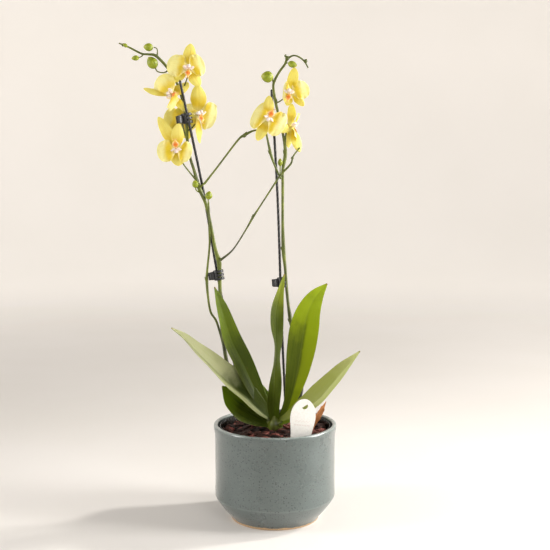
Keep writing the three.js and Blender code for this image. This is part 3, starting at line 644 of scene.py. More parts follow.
def rounded(corners, arc_steps=7):
    """An outline of (radius, height) with each corner (r, z, fillet) rounded."""
    out = []
    for i, (r, z, fillet) in enumerate(corners):
        here = np.array([r, z], float)
        if fillet == 0 or i in (0, len(corners) - 1):
            out.append(here)
            continue
        back = np.array(corners[i - 1][:2]) - here
        ahead = np.array(corners[i + 1][:2]) - here
        reach = min(fillet, 0.45 * np.linalg.norm(back), 0.45 * np.linalg.norm(ahead))
        start, end = here + unit(back) * reach, here + unit(ahead) * reach
        for u in np.linspace(0, 1, arc_steps):
            out.append((1 - u)**2 * start + 2 * u * (1 - u) * here + u**2 * end)
    return np.array(out)


def add_turned(mesh, outline, sides):
    """A turned body from an outline that starts and ends on the axis."""
    inner = outline[1:-1]
    angle = np.linspace(0, 2 * math.pi, sides, endpoint=False)
    rings = np.stack([inner[:, :1] * np.cos(angle), inner[:, :1] * np.sin(angle),
                      np.broadcast_to(inner[:, 1:], (len(inner), sides))], axis=-1)
    return mesh.loft(rings)


# ------------------------------------------------------------------ pot, liner, bark
def make_pot():
    """The pot's wall; its lower edge is cut away to the foot in one shallow curve."""
    outline = rounded([
        (0, 0, 0), (FOOT_R - 1.4, 0, 1.2), (FOOT_R, 0.4, 1), (FOOT_R + 0.9, 4, 2),
        (BODY_R - 8.1, ARRIS_Z - 12.2, 9),
        (BODY_R, ARRIS_Z, 2.2), (BODY_R - 0.3, 62, 12), (BODY_R - 0.1, POT_HEIGHT - 13, 8),
        (RIM_R, POT_HEIGHT - 4.5, 4), (RIM_R - 0.2, POT_HEIGHT, 2.8),
        (INNER_R, POT_HEIGHT, 2.8), (INNER_R - 0.6, POT_HEIGHT - 10, 5),
        (INNER_R - 0.6, ARRIS_Z + 2, 5), (50, FLOOR_Z, 4), (0, FLOOR_Z, 0),
    ])
    finer = []
    for a, b in zip(outline[:-1], outline[1:]):
        pieces = max(1, int(np.linalg.norm(b - a) / 4))
        finer.extend(a + (b - a) * k / pieces for k in range(pieces))
    finer.append(outline[-1])
    mesh = Mesh()
    add_turned(mesh, np.array(finer), 160)
    install(mesh.object("pot_glazed", glaze_material()), "pot")


def make_liner():
    base = FLOOR_Z + 0.32
    top = LINER_TOP_Z
    outline = rounded([
        (0, base, 0), (46, base, 1.5), (LINER_TOP_R - 1.2, top - 5, 1),
        (LINER_TOP_R, top - 1.2, 0.6), (LINER_TOP_R - 0.1, top, 0.5),
        (LINER_TOP_R - 0.9, top, 0.5), (LINER_TOP_R - 2, top - 5, 1),
        (45.2, base + 0.8, 1.5), (0, base + 0.8, 0),
    ], 5)
    mesh = Mesh()
    add_turned(mesh, outline, 128)
    install(mesh.object("grow_pot_clear", liner_material()), "nursery_liner")


def ground(x, y):
    """The bark's mean surface."""
    return (BARK_Z + 1.3 * noise.noise(Vector((x * 0.06, y * 0.06, 3.1)))
            + 0.9 * noise.noise(Vector((x * 0.16, y * 0.16, 7.7))))


def add_chip(mesh, rng, centre, size, tilt):
    """A broken flake of bark: the hull of points near the corners and faces of a slab."""
    hull = bmesh.new()
    length, width, depth = size
    for a in (-1, 1):
        for b in (-1, 1):
            for c in (-1, 1):
                for _ in range(2):
                    hull.verts.new((a * length / 2 * rng.uniform(0.55, 1),
                                    b * width / 2 * rng.uniform(0.45, 1),
                                    c * depth / 2 * rng.uniform(0.5, 1)))
    for _ in range(4):
        hull.verts.new((rng.uniform(-0.5, 0.5) * length, rng.uniform(-0.5, 0.5) * width,
                        rng.choice((-0.5, 0.5)) * depth * rng.uniform(0.8, 1.15)))
    made = bmesh.ops.convex_hull(hull, input=hull.verts)
    loose = {v for v in made["geom_interior"] + made["geom_unused"]
             if isinstance(v, bmesh.types.BMVert)}
    bmesh.ops.delete(hull, geom=list(loose), context="VERTS")
    bmesh.ops.bevel(hull, geom=list(hull.edges), offset=0.07 * min(width, depth * 2), segments=1,
                    affect="EDGES", profile=0.6, clamp_overlap=True)
    bmesh.ops.triangulate(hull, faces=[f for f in hull.faces if len(f.verts) > 4])
    move = Matrix.Translation(centre) @ tilt
    hull.verts.index_update()
    points = [move @ v.co for v in hull.verts]
    note = (rng.random(), rng.random(), rng.random())
    mesh.add(points, [[v.index for v in f.verts] for f in hull.faces], [note] * len(points))
    hull.free()


def make_bark():
    """A bed of fines that fills the liner, and loose chips on it."""
    rng = random.Random(41)
    rings = [circle(43.6, 72, BARK_FLOOR_Z), circle(BARK_R, 72, BARK_Z - 6)]
    for r in (BARK_R, *np.linspace(58, 4, 16)):
        rings.append([(x, y, ground(x, y) - 2.4) for x, y, _ in circle(r, 72)])
    fill = Mesh().loft(rings)
    bed = fill.object("bark_fill", bark_material("bark_fines", [
        (0.2, (22, 12, 8)), (0.6, (36, 20, 14)), (0.9, (52, 30, 22))]))

    chips = Mesh()
    placed = []
    while len(placed) < CHIPS:
        far = 60 * math.sqrt(rng.random())
        a = rng.uniform(0, 2 * math.pi)
        x, y = far * math.cos(a), far * math.sin(a)
        length = rng.uniform(7, 17)
        if any((x - p)**2 + (y - q)**2 < (0.2 * (length + other))**2 for p, q, other in placed):
            continue
        placed.append((x, y, length))
        length = min(length, 2 * (62.4 - far) + 4)
        layer = rng.choice((-1.6, -0.4, 0.6, 1.6))
        tilt = (Matrix.Rotation(rng.uniform(0, 2 * math.pi), 4, "Z")
                @ Matrix.Rotation(rng.gauss(0, 0.3), 4, "X")
                @ Matrix.Rotation(rng.gauss(0, 0.22), 4, "Y"))
        size = (length, length * rng.uniform(0.42, 0.75), rng.uniform(2.4, 4.6))
        add_chip(chips, rng, Vector((x, y, ground(x, y) + layer)), size, tilt)
    top = chips.object("bark_chips", bark_material("bark_flakes", [
        (0.1, (20, 12, 8)), (0.38, (38, 22, 16)), (0.6, (62, 34, 26)), (0.78, (122, 68, 60)),
        (0.92, (184, 118, 108))]), smooth=False)
    install(bed, "bark_bed")
    install(top, "bark_bed")


# ------------------------------------------------------------------ crown, leaves, sheath
FRONT = (0, -1, 0)

CROWN_STEMS = [
    [(0, 6, 90, 7), (0, 3, 103, 9.5), (0, 0, 112, 8.6), (-1, 0, 119, 5), (-2, 1, 124, 2)],
    [(0, 4, 100, 3), (-14, -8, 97, 2.8), (-30, -14, 88, 2.6), (-40, -16, 70, 2.2)],
    [(0, 4, 100, 3), (14, -10, 98, 2.8), (30, -20, 86, 2.5), (36, -26, 66, 2.2)],
    [(0, 4, 100, 3), (-10, 18, 97, 2.8), (-20, 34, 84, 2.5), (-24, 40, 62, 2.2)],
    [(0, 4, 100, 3), (-2, 8, 80, 3), (4, 4, 60, 2.8), (2, -4, 38, 2.2)],
]

# Each leaf: the way its upper side looks, its fold, and the run of its midrib from the crown
# as x, y, z, half width, roll.
LEAVES = {
    "leaf_1": ((0.35, -0.55, 0.75), 0.62, [
        (-5, 3, 116, 6, 0), (-20, 1, 128, 12, 0), (-38, -2, 146, 17, 0), (-55, -5, 162, 17.5, 0),
        (-74, -8, 182, 14, 4), (-91, -10, 200, 10, 6), (-106, -9, 216, 6, 8),
        (-121, -8, 228, 0.8, 8)]),
    "leaf_2": (FRONT, 0.3, [
        (-6, 8, 117, 6, 10), (-16, 9, 137, 8, 20), (-28, 6, 161, 11, 28), (-39, 2, 186, 12.5, 32),
        (-50, 0, 209, 12.5, 36), (-57, 0, 230, 11, 38), (-64, 1, 253, 7.5, 40),
        (-71, 3, 275, 0.8, 42)]),
    "leaf_3": ((0.2, -0.8, 0.6), 0.25, [
        (-7, 2, 112, 6, 0), (-21, 0, 121, 14, 0), (-37, -1, 132, 19, 0), (-51, -4, 144, 15, 0),
        (-62, -8, 159, 1, 0)]),
    "leaf_4": ((0.2, -0.9, 0.4), 0.3, [
        (-6, 12, 118, 6, 0), (-17, 10, 134, 10, 0), (-29, 9, 150, 10, 0), (-37, 9, 164, 6, 0),
        (-43, 9, 174, 0.8, 0)]),
    "leaf_5": (FRONT, 0.28, [
        (-1, -2, 118, 5.5, 0), (-2, -6, 138, 7.5, 10), (-1, -9, 160, 9, 34),
        (0, -10, 188, 10, 66), (1, -11, 208, 11, 68), (0, -10, 230, 11.5, 52),
        (1, -9, 249, 9.5, 40), (5, -7, 267, 5.5, 30), (11, -4, 291, 0.8, 24)]),
    "leaf_6": (FRONT, 0.22, [
        (8, 0, 115, 5.5, 0), (18, -5, 142, 7.5, 0), (25, -8, 172, 13, 0), (30, -10, 202, 16.5, 0),
        (34, -10, 228, 17, 0), (39, -8, 248, 14, 0), (48, -4, 265, 9, 0), (61, 2, 279, 0.8, 0)]),
    "leaf_7": ((-0.3, -0.6, 0.75), 0.55, [
        (6, -5, 114, 5.5, 0), (20, -11, 122, 9, 0), (36, -17, 134, 13, 0), (51, -21, 147, 15, 0),
        (66, -24, 165, 12.5, 0), (83, -26, 186, 7.5, 0), (98, -26, 204, 0.8, 0)]),
    "leaf_8": (FRONT, 0.3, [
        (-4, 17, 116, 5, 0), (-11, 28, 133, 7.5, 10), (-18, 36, 146, 6, 16),
        (-25, 42, 158, 0.8, 20)]),
}

# The sheath's midrib, as for the leaves.
SHEATH = [
    (41, -8.5, 105, 2.4, 10), (46, -8, 116, 3, 20), (51, -7, 126, 4.5, 30), (55, -6, 133, 3.5, 40),
    (60, -4, 140, 0.6, 50)]

# The tones of each leaf, as leaf_material takes them: low, high, rise, shade, edge, top.
# Low to high paints light, a shaded foot turning to a lit upper blade; shade, edge and top paint
# the shadow in the fold.
LEAF_TONES = {
    # leaf_1: the dark low is painted shade; the pale high and pale shade are a painted glancing
    # reflection.
    "leaf_1": ((36, 52, 2), (214, 212, 172), 0.46, (184, 188, 138), 0.0, 0.96),
    "leaf_2": ((48, 64, 0), (86, 102, 4), 0.6, (34, 48, 0), -0.3, 0.5),
    "leaf_3": ((58, 76, 8), (72, 90, 14), 0.5, (40, 56, 4), 0.1, 0.7),
    "leaf_4": ((40, 58, 6), (60, 80, 12), 0.6, (32, 48, 4), 0.0, 0.8),
    "leaf_5": ((62, 76, 4), (120, 128, 30), 0.8, (36, 50, 0), 0.1, 0.84),
    # leaf_6: the bright yellow-green paints light shining through the blade.
    "leaf_6": ((146, 162, 0), (146, 164, 0), 0.5, (28, 52, 0), 0.1, 0.62),
    # leaf_7: the pale high is a painted glancing reflection.
    "leaf_7": ((104, 120, 16), (222, 220, 160), 0.34, (156, 166, 62), 0.0, 0.9),
    "leaf_8": ((66, 90, 30), (92, 114, 46), 0.5, (48, 68, 12), 0.0, 0.7),
}


def make_leaves():
    for number, (name, (face, fold, run)) in enumerate(LEAVES.items()):
        low, high, rise, shade, edge, top = LEAF_TONES[name]
        green = leaf_material(name + "_green", colour(*low), colour(*high), rise,
                              colour(*shade), edge, top)
        mesh = Mesh()
        add_blade(mesh, run, face, 1.8, steps=110, around=56, fold=fold, groove=0.5,
                  ruffle=(0.5, 1.6, 1.3 * number))
        install(mesh.object(name + "_blade", green), name)


def make_crown(stem_green):
    mesh = Mesh()
    for run in CROWN_STEMS:
        add_tube(mesh, run, 24, 16)
    root = np.array([0, 3, 106.0])
    for _, _, run in LEAVES.values():
        start, after = np.array(run[0][:3], float), np.array(run[1][:3], float)
        half_way, end = 0.5 * (root + start), start + 0.25 * (after - start)
        add_tube(mesh, [(*root, 6), (*half_way, 5.2), (*start, 3.6), (*end, 2)], 12, 14)
    install(fused("crown_base", mesh, 0.8, stem_green, 6), "crown")


def make_sheath():
    mesh = Mesh()
    add_blade(mesh, SHEATH, FRONT, 0.7, steps=40, around=28, fold=0.5, ruffle=(0.5, 2.6, 0.4))
    install(mesh.object("sheath_dry", dry_material()), "sheath")


# ------------------------------------------------------------------ spikes, branches and buds
# Stations of x, y, z and radius from the crown outwards.
STEMS = {
    "spike_left": [
        (-10, 10, 106, 2.6), (-28, 17, 122, 2.5), (-46, 16, 148, 2.4), (-57, 14, 182, 2.3),
        (-62, 13, 217, 2.3), (-64, 12, 247, 2.2), (-65, 12, 272, 2.2), (-65.3, 11.2, 294, 2.4),
        (-66, 9, 305, 2.9), (-70, 6.5, 320, 2), (-76, 4, 353, 1.9), (-80.5, 2, 373, 2),
        (-88, 2, 391, 2.5), (-93, 1.5, 409, 1.8), (-98, 1, 426, 1.7), (-101, 0, 446, 1.8),
        (-101.6, -2.2, 468, 1.7), (-105, 3, 485, 1.6), (-112, 6, 509, 1.6), (-122, 3, 526, 1.6),
        (-135, -3, 540, 1.7), (-144, -4, 542, 1.3), (-152, -3, 543, 1.2), (-166, -2, 550, 1.1),
        (-178, 0, 555, 0.8)],
    "spike_left_thin": [
        (-10, 16, 106, 1.8), (-24, 22.5, 116, 1.7), (-38, 21, 129, 1.7), (-49, 20, 150, 1.6),
        (-56, 19, 171, 1.6), (-61, 19, 200, 1.5), (-69, 15, 231, 1.4), (-76, 12, 244, 1.4),
        (-79, 11, 262, 1.4), (-80.3, 11, 282, 1.8), (-79.5, 10.5, 296, 1.3), (-76.5, 7, 324, 1.3),
        (-76.5, 0.5, 346, 1.2), (-76.5, -1, 362, 1.2), (-77, -1.5, 374, 1)],
    "spike_right": [
        (9, 9, 106, 2.6), (24, 14, 124, 2.4), (32, 18, 152, 2.3), (30, 21, 185, 2.2),
        (24, 23, 211, 2.1), (19, 24, 231, 2.6), (16, 23, 250, 1.9), (14, 23, 269, 1.9),
        (12, 21, 296, 1.8), (10, 19, 317, 2.4), (9, 15, 353, 1.7), (9, 10, 394, 1.7),
        (9, 9, 411, 1.8), (12, 8, 430, 2.2), (10, 8, 448, 1.6), (5, 9, 471, 1.6),
        (1, 8, 488, 1.8), (-2, 5, 506, 1.5), (0, 3, 514, 1.5), (5, 2, 523, 1.4),
        (11, 1, 531, 1.4), (14, 0, 537, 1.4), (21, -1, 541, 1), (28, -1, 539, 1), (34, 0, 534, 1),
        (38, 0, 527, 0.8)],
    "branch_left_long": [
        (-64, 5, 306, 1.6), (-49, 1, 319, 1), (-34, -4, 342, 1), (-26, -6, 356, 1.4),
        (-17, -7, 370, 1), (-2, -6, 393, 1.1), (6, -4, 405, 1.3), (18, -3, 418, 1.2),
        (21, -2, 427, 1), (28, 0, 436, 0.8)],
    "branch_left_upper": [
        (-82, 1, 395, 1.4), (-67, 2, 414, 1.1), (-43, 1, 445, 1.2), (-35, 1, 451, 1.7),
        (-25, 0, 456, 1.2), (-15, -1, 457, 0.9)],
    "branch_right": [
        (7, 4, 401, 1.5), (2, 1, 411, 1.3), (-1, 0, 418, 1.2), (-5, -1, 430, 1.7),
        (-9, -2, 448, 1.2), (-11, -3, 458, 1.5)],
}

STALK_END = 5  # how far behind a flower's centre its stalk ends
PETAL_ROOT = 1.1  # where a petal or sepal starts, inside the heart
SEPALS_BACK = 2.4
LIP_SIZE = 0.84

# Flower stalks by the stem they grow from: x, y, z and radius, up to the flower's back.
STALKS = {
    "spike_left": {
        "flower_1": [(-108, 4, 495, 1.3), (-104, 3, 507, 0.9), (-100, -1, 517, 0.9)],
        "flower_2": [(-109, 5, 500, 1.3), (-112, 4, 497, 0.9)],
        "flower_3": [(-101, -1, 456, 1.3), (-95, 3, 460, 0.9), (-91.5, 5.5, 467, 0.9)],
        "flower_4": [(-90, 2, 398, 1.3), (-98, -1, 408, 0.9), (-106, -2, 419, 0.9)],
        "flower_5": [(-100, 0, 441, 1.3), (-104, 6, 452, 0.9)],
    },
    "spike_right": {
        "flower_7": [(0, 8, 489, 1.2), (4, 5, 489, 0.9), (12, 1, 494, 0.9)],
        "flower_8": [(11, 7, 432, 1.3), (12, 7, 446, 1)],
    },
    "branch_right": {
        "flower_6": [(-11, -3, 457, 1.4), (-10, -3, 463, 1.1)],
    },
}

# Short stalks that carry the buds, in the same way.
TWIGS = {
    "spike_left": [
        [(-134, -3, 540, 1), (-134, -4, 548, 0.7), (-138, -4, 550, 0.7)],
        [(-122, 3, 525, 1.1), (-127, 1, 522, 0.8), (-134, -2, 523, 0.8), (-137, -2, 528, 0.9)],
        [(-88, 2, 386, 1), (-90, -2, 387, 0.8), (-91.3, -3.3, 389, 0.8), (-91.2, -3.9, 391.4, 0.7)],
        [(-150, -3, 542.6, 1), (-151.6, -3, 540, 0.7), (-154.8, -3, 538.5, 0.7)],
        [(-165, -2, 549.6, 1), (-166.4, -3.7, 550, 0.7), (-167.2, -4.7, 550.2, 0.7)]],
    "spike_right": [
        [(-1, 4, 509, 1.2), (-2.6, 1.4, 513, 0.9), (-2.4, 0, 515.4, 0.9)],
        [(11.5, 0.8, 532, 1.1), (13.2, -0.3, 532.6, 0.8), (14.4, -1.2, 532.8, 0.8)]],
    "spike_left_thin": [
        [(-77, -1.5, 373, 1), (-77.2, -1.5, 375.5, 0.8), (-77.5, -1.5, 378, 0.7)]],
    "branch_left_upper": [
        [(-87.5, 1, 391, 1.3), (-84.6, -0.4, 393, 1.1), (-81, 1, 396.5, 1.2)]],
    "branch_right": [
        [(6, 3, 402, 1), (6, 4, 410, 0.8), (6, 4, 416.5, 0.8)]],
}

# Small closed knobs of new growth at the tips: x, y, z, radius.
KNOBS = {
    "spike_left": [(-173, -1, 553, 1.7)],
    "spike_right": [(14, 0, 538, 2.4), (35, 0, 535, 2.2), (12, 0, 541, 1.5)],
    "branch_left_long": [(20, -1, 425, 1.8), (28, 0, 436, 1.2)],
    "branch_left_upper": [(-35, 1, 451, 2.4)],
}

# Buds: centre, pointing direction, length, radius.
BUDS = {
    "bud_1": ((-170, -5, 552), (-0.7, 0, 0.5), 6, 2.2),
    "bud_2": ((-159, -3, 538), (-0.9, 0, -0.1), 9, 3),
    "bud_3": ((-144, -4, 550), (-0.9, 0, 0.1), 11, 4.6),
    "bud_4": ((-140, -2, 533), (-0.5, 0, 0.8), 15, 6.2),
    "bud_5": ((-92, -4, 395), (-0.2, 0, 1), 9, 3.6),
    "bud_6": ((-76.5, -1.5, 382), (0.2, 0, 1), 10, 4.2),
    "bud_7": ((6, 4, 420), (0, 0, 1), 9, 2.8),
    "bud_8": ((-9, -2, 517), (-0.9, -0.2, 0.1), 14, 6.6),
    "bud_9": ((20, -2, 531), (0.9, -0.1, -0.3), 11, 3.8),
}


def add_bud(mesh, at, point, length, radius, slot=0, steps=30, around=36):
    """A closed bud: three sepals meet in shallow seams that twist a little to a blunt point."""
    u = np.linspace(0, 1, steps + 1)
    t = 0.5 * (1 - np.cos(math.pi * u))
    belly = np.sin(math.pi * np.clip(t, 0.004, 0.992) ** 0.86) ** 0.62
    direction = unit(point)
    across = unit(np.cross(direction, (0.13, 0.9, 0.31)))
    out = np.cross(across, direction)
    turn = np.linspace(0, 2 * math.pi, around, endpoint=False)
    twisted = turn[None, :] + 0.5 * t[:, None]
    seam = np.exp(-(np.sin(1.5 * twisted) / 0.16) ** 2)
    r = radius * belly[:, None] * (1 - 0.07 * seam * np.sin(math.pi * t)[:, None])
    centre = np.asarray(at, float) + direction * ((t - 0.5) * length)[:, None]
    rings = (centre[:, None] + across * (r * np.cos(turn))[..., None]
             + out * (r * np.sin(turn))[..., None])
    where = np.stack(np.broadcast_arrays(twisted / (2 * math.pi), t[:, None],
                                         np.ones((1, around))), axis=-1)
    return mesh.loft(rings, where, slot)


def flower_back(name):
    """Where the stalk meets the back of a flower."""
    at, face = FLOWERS[name]["at"], FLOWERS[name]["face"]
    return np.array(at, float) - STALK_END * unit(face)


def bracts(mesh, stations):
    """A small pointed scale clasping the stem at each thicker station."""
    rows = np.array(stations, float)
    for i in range(1, len(rows) - 1):
        if rows[i, 3] < 1.12 * max(rows[i - 1, 3], rows[i + 1, 3]):
            continue
        along = unit(rows[i + 1, :3] - rows[i - 1, :3])
        out = unit(np.cross(along, (0.2, 1, 0.1)) * (1 if i % 2 else -1) + np.array((0, -0.5, 0)))
        foot = rows[i, :3] - along * 1.5
        r = rows[i, 3]
        run = [(*(foot + out * away + along * up), half, 0) for away, up, half in (
            (r * 0.7, 0, 1.5), (r + 0.35, 2.2, 1.7), (r + 0.6, 4.4, 1.1), (r + 0.5, 6.2, 0.15))]
        add_blade(mesh, run, tuple(-out), 0.45, steps=16, around=16, fold=0.45)


def make_stems(materials):
    for name, stations in STEMS.items():
        green = materials[name]
        mesh = Mesh()
        add_tube(mesh, stations, 12 * len(stations), 18)
        for flower, run in STALKS.get(name, {}).items():
            add_tube(mesh, [*run, (*flower_back(flower), 1.5)], 30, 14)
        for run in TWIGS.get(name, ()):
            add_tube(mesh, run, 20, 14)
        for *at, r in KNOBS.get(name, ()):
            add_bud(mesh, at, (0.4, 0.1, 0.9), 2.5 * r, r, steps=14, around=16)
        skin = fused(name + "_skin", mesh, 0.42, green, 2)
        scales = Mesh()
        bracts(scales, stations)
        if scales.points:
            skin = joined(name + "_stem", skin, scales.object(name + "_scales", green))
        install(skin, name)


def make_buds():
    green = bud_material()
    for name, bud in BUDS.items():
        mesh = Mesh()
        add_bud(mesh, *bud)
        install(mesh.object(name + "_closed", green), name)


# ------------------------------------------------------------------ flowers
# Each flower: centre, the way it faces, the way its dorsal sepal points, then the tips of its
# sepals and petals from the centre with half width and roll.
FLOWERS = {
    "flower_1": {"at": (-98.6, -7, 525.7), "face": (0.15, -1, 0.1), "up": (0.1, 0, 1),
                 "sepals": [(3, 4, 29, 7.6, 0), (-20, 5, -13, 6.5, 0), (13, 5, -19, 7, 0)],
                 "petals": [(-24, 3, 7, 13, 0), (18, 2, 7, 13, 0)]},
    "flower_2": {"at": (-117.6, -5, 496), "face": (-0.35, -0.85, 0.25), "up": (-1, 0.1, 0.25),
                 "sepals": [(-34, 4, 9, 6.5, 40), (17, 9, 16, 8, 0), (14, 3, -18, 6.5, 35)],
                 "petals": [(-15, 5, 22, 13, 0), (2, -12, -16, 11, 30)]},
    "flower_3": {"at": (-88, 0, 475), "face": (0.65, -0.75, 0.1), "up": (0, 0, 1),
                 "sepals": [(1, 5, 34, 9.5, -30), (3, 2, -33, 6.5, -20), (-10, 6, -20, 6.5, 0)],
                 "petals": [(20, 8, -5, 16, 20), (-13, 8, 12, 11, 0)]},
    "flower_4": {"at": (-112, -10, 434), "face": (-0.1, -1, 0.1), "up": (0.1, 0, -1),
                 "sepals": [(1, 1, -18, 8.5, 0), (-22, 4, 38, 6.8, 0), (2, -6, 30, 7.5, 20)],
                 "petals": [(-23, 0, -2, 12.5, 0), (17, -1, -4, 12, 0)]},
    "flower_5": {"at": (-110, 18, 468), "face": (-0.3, 0.95, 0.1), "up": (0, 0, 1),
                 "sepals": [(4, -3, 20, 8, 0), (-11, -3, -20, 7, 0), (9, -3, -21, 7.5, 0)],
                 "petals": [(-19, -3, 6, 12, 0), (17, -2, 6, 12, 0)]},
    "flower_6": {"at": (-8, -12, 469), "face": (0.2, -1, 0.15), "up": (-0.5, 0, -0.85),
                 "sepals": [(-12, 3, -24, 6.5, 0), (2, 3, 27, 6.3, 0), (25, 5, -13, 7.5, 0)],
                 "petals": [(-16, 3, 9, 18, 0), (19, -1, -10, 15, 0)]},
    "flower_7": {"at": (18, -6, 499), "face": (-0.4, -0.9, 0.05), "up": (0.1, 0, 1),
                 "sepals": [(3, 4, 29, 7, 0), (-6, 5, -14, 6, 0), (14, 2, -15, 5.5, 20)],
                 "petals": [(-9, -3, 1, 12, 0), (21, 4, 6, 11, 0)]},
    "flower_8": {"at": (18, 6, 462), "face": (0.85, 0.4, 0.1), "up": (0, 0, 1),
                 "sepals": [(4, -2, 25, 6.3, 30), (0, 5, -25, 5.5, 75), (13, -4, -30, 6.5, 90)],
                 "petals": [(10, 12, 10, 11, 0), (7, -9, -15, 10, 30)]},
}


def petal_shape(t):
    """Share of the half width along a petal: a narrow claw, broad shoulders, a round end."""
    grow = np.clip(t / 0.38, 0, 1)
    grow = 0.18 + 0.82 * (3 * grow**2 - 2 * grow**3) ** 0.66
    end = np.clip((t - 0.54) / 0.46, 0, 1)
    return grow * np.sqrt(np.clip(1 - end**2.4, 0, 1))


def sepal_shape(t):
    """The same for a sepal, which has less of a claw and a blunter point."""
    grow = np.clip(t / 0.5, 0, 1)
    grow = 0.36 + 0.64 * (3 * grow**2 - 2 * grow**3) ** 0.8
    end = np.clip((t - 0.45) / 0.55, 0, 1)
    return grow * np.clip(1 - end**2.1, 0, 1) ** 0.62


def petal_run(tip, face, before, bow):
    """Stations from the heart to a tip; before sets them forward and bow arches them."""
    start = unit(face) * before
    base = PETAL_ROOT / math.dist(tip[:3], (0, 0, 0))
    rows = []
    for t in np.linspace(0, 1, 7):
        p = start + np.array(tip[:3], float) * (base + (1 - base) * t)
        p = p + unit(face) * bow * math.sin(math.pi * min(1, 1.15 * t))
        rows.append((*p, tip[3], tip[4]))
    return rows


def add_column(mesh, spot):
    """The arched column and its cap; spot gives a place right, up and forward in the flower."""
    add_tube(mesh, [spot(0, -0.4, 0.4, 1.6), spot(0, 1.0, 2.6, 1.9), spot(0, 2.0, 4.6, 2.2),
                    spot(0, 2.2, 6.6, 2.3), spot(0, 1.5, 8.2, 1.7)], 24, 24, slot=1)
    add_bud(mesh, spot(0, 1.2, 8.0), spot(0, -0.5, 1), 3.2, 1.5, slot=1, steps=12, around=18)


def add_lip(mesh, spot, face, up, right):
    """The lip: a tongue, and on each side a lobe, a whisker at the tip and a small callus."""
    add_blade(mesh, [spot(0, -0.5, 2.0, 1.5, 0), spot(0, -3.2, 4.6, 2.2, 0),
                     spot(0, -5.6, 6.6, 4.0, 0), spot(0, -8.2, 7.8, 3.4, 0),
                     spot(0, -10.8, 8.0, 1.9, 0), spot(0, -12.8, 7.4, 0.5, 0)],
              tuple(face), 1.0, steps=44, around=36, fold=-0.28, ruffle=(0.3, 2.2, 1.0))
    for side in (-1, 1):
        add_blade(mesh, [spot(side * 0.8, -1.6, 3.0, 1.4, 0), spot(side * 3.2, -2.0, 4.6, 2.5, 0),
                         spot(side * 4.8, -0.9, 6.4, 2.8, 0), spot(side * 5.0, 0.9, 8.4, 2.1, 0),
                         spot(side * 4.2, 2.2, 9.6, 0.7, 0)],
                  tuple(up - side * 0.2 * right), 0.7, steps=36, around=32, cup=0.3,
                  ruffle=(0.3, 1.8, side * 1.0), slot=1)
        add_tube(mesh, [spot(side * 0.3, -12.2, 7.6, 0.45), spot(side * 1.4, -13.8, 8.2, 0.32),
                        spot(side * 2.8, -14.0, 9.6, 0.24), spot(side * 3.2, -12.6, 10.6, 0.14)],
                 20, 8)
        add_bud(mesh, spot(side * 0.9, -2.2, 5.4), spot(0, 0.6, 1), 3.2, 0.95, steps=12, around=14)


def make_flower(name, flower, petal_look, sepal_look, lip_look, column_look, rng):
    at = np.array(flower["at"], float)
    face = unit(flower["face"])

    def moved(mesh):
        mesh.points = [tuple(np.array(p) + at) for p in mesh.points]
        return mesh

    petals = Mesh()
    for tip in flower["petals"]:
        add_blade(petals, petal_run(tip, face, 0, 2.2), face, 0.8, steps=64, around=64,
                  shape=petal_shape, cup=-0.13, ruffle=(1.3, 1.7, rng.uniform(0, 6)), groove=0.25)
    add_bud(petals, (0, 0, 0), face, 4, 1.9, steps=12, around=16)
    install(moved(petals).object(name + "_petals_pair", petal_look), name + "_petals")

    sepals = Mesh()
    for tip in flower["sepals"]:
        add_blade(sepals, petal_run(tip, face, -SEPALS_BACK, 2.0), face, 0.8, steps=56, around=48,
                  shape=sepal_shape, cup=-0.16, ruffle=(0.35, 1.2, rng.uniform(0, 6)), groove=0.3)
    add_bud(sepals, tuple(-SEPALS_BACK * face), face, 5.6, 2.1, steps=12, around=16)
    install(moved(sepals).object(name + "_sepals_three", sepal_look), name + "_sepals")

    up = np.array(flower["up"], float)
    up = unit(up - face * (up @ face))
    right = np.cross(face, up)

    def spot(r, u, f, *rest):
        return (*((right * r + up * u + face * f) * LIP_SIZE), *rest)

    lip = Mesh()
    add_column(lip, spot)
    add_lip(lip, spot, face, up, right)
    install(moved(lip).object(name + "_lip_column", lip_look, column_look), name + "_lip")


def make_flowers():
    petal_look = petal_material("petal_yellow", colour(238, 208, 48), colour(252, 246, 186),
                                colour(250, 247, 214))
    sepal_look = petal_material("sepal_yellow", colour(228, 196, 40), colour(248, 236, 140),
                                colour(242, 238, 172))
    lip_look, column_look = lip_material(), column_material()
    rng = random.Random(7)
    for name, flower in FLOWERS.items():
        make_flower(name, flower, petal_look, sepal_look, lip_look, column_look, rng)


# ------------------------------------------------------------------ stakes, clips, label
STAKES = {
    "stake_left": [
        (-27, 31, 50), (-37, 27, 114), (-50, 22.5, 186), (-58, 19.5, 232), (-63.5, 17.5, 262),
        (-71.5, 13.5, 310), (-84.5, 3.5, 394), (-108, -11.5, 513)],
    "stake_right": [
        (16, 47, 50), (13, 43, 119), (9, 34, 206), (7, 28, 262), (3, 20, 380), (-4, 12, 504)],
}
STAKE_R = 1.6
STAKE_RIBS = 5
STAKE_TWIST = 34  # millimetres for one turn of the ribs

# Clips: the middle of the claws, then turn about Z and lean about Y in degrees.
CLIPS = {
    "clip_left_upper": ((-100.6, -4, 470), 20, -9),
    "clip_left_lower": ((-66.3, 13.2, 288), 5, -9),
    "clip_right": ((9, 25, 278), 10, -4),
}
CLIP_R = 5.4
CLIP_HEIGHT = 11
CLAW_START = 0.93 * math.pi
COIL_R = 2.7


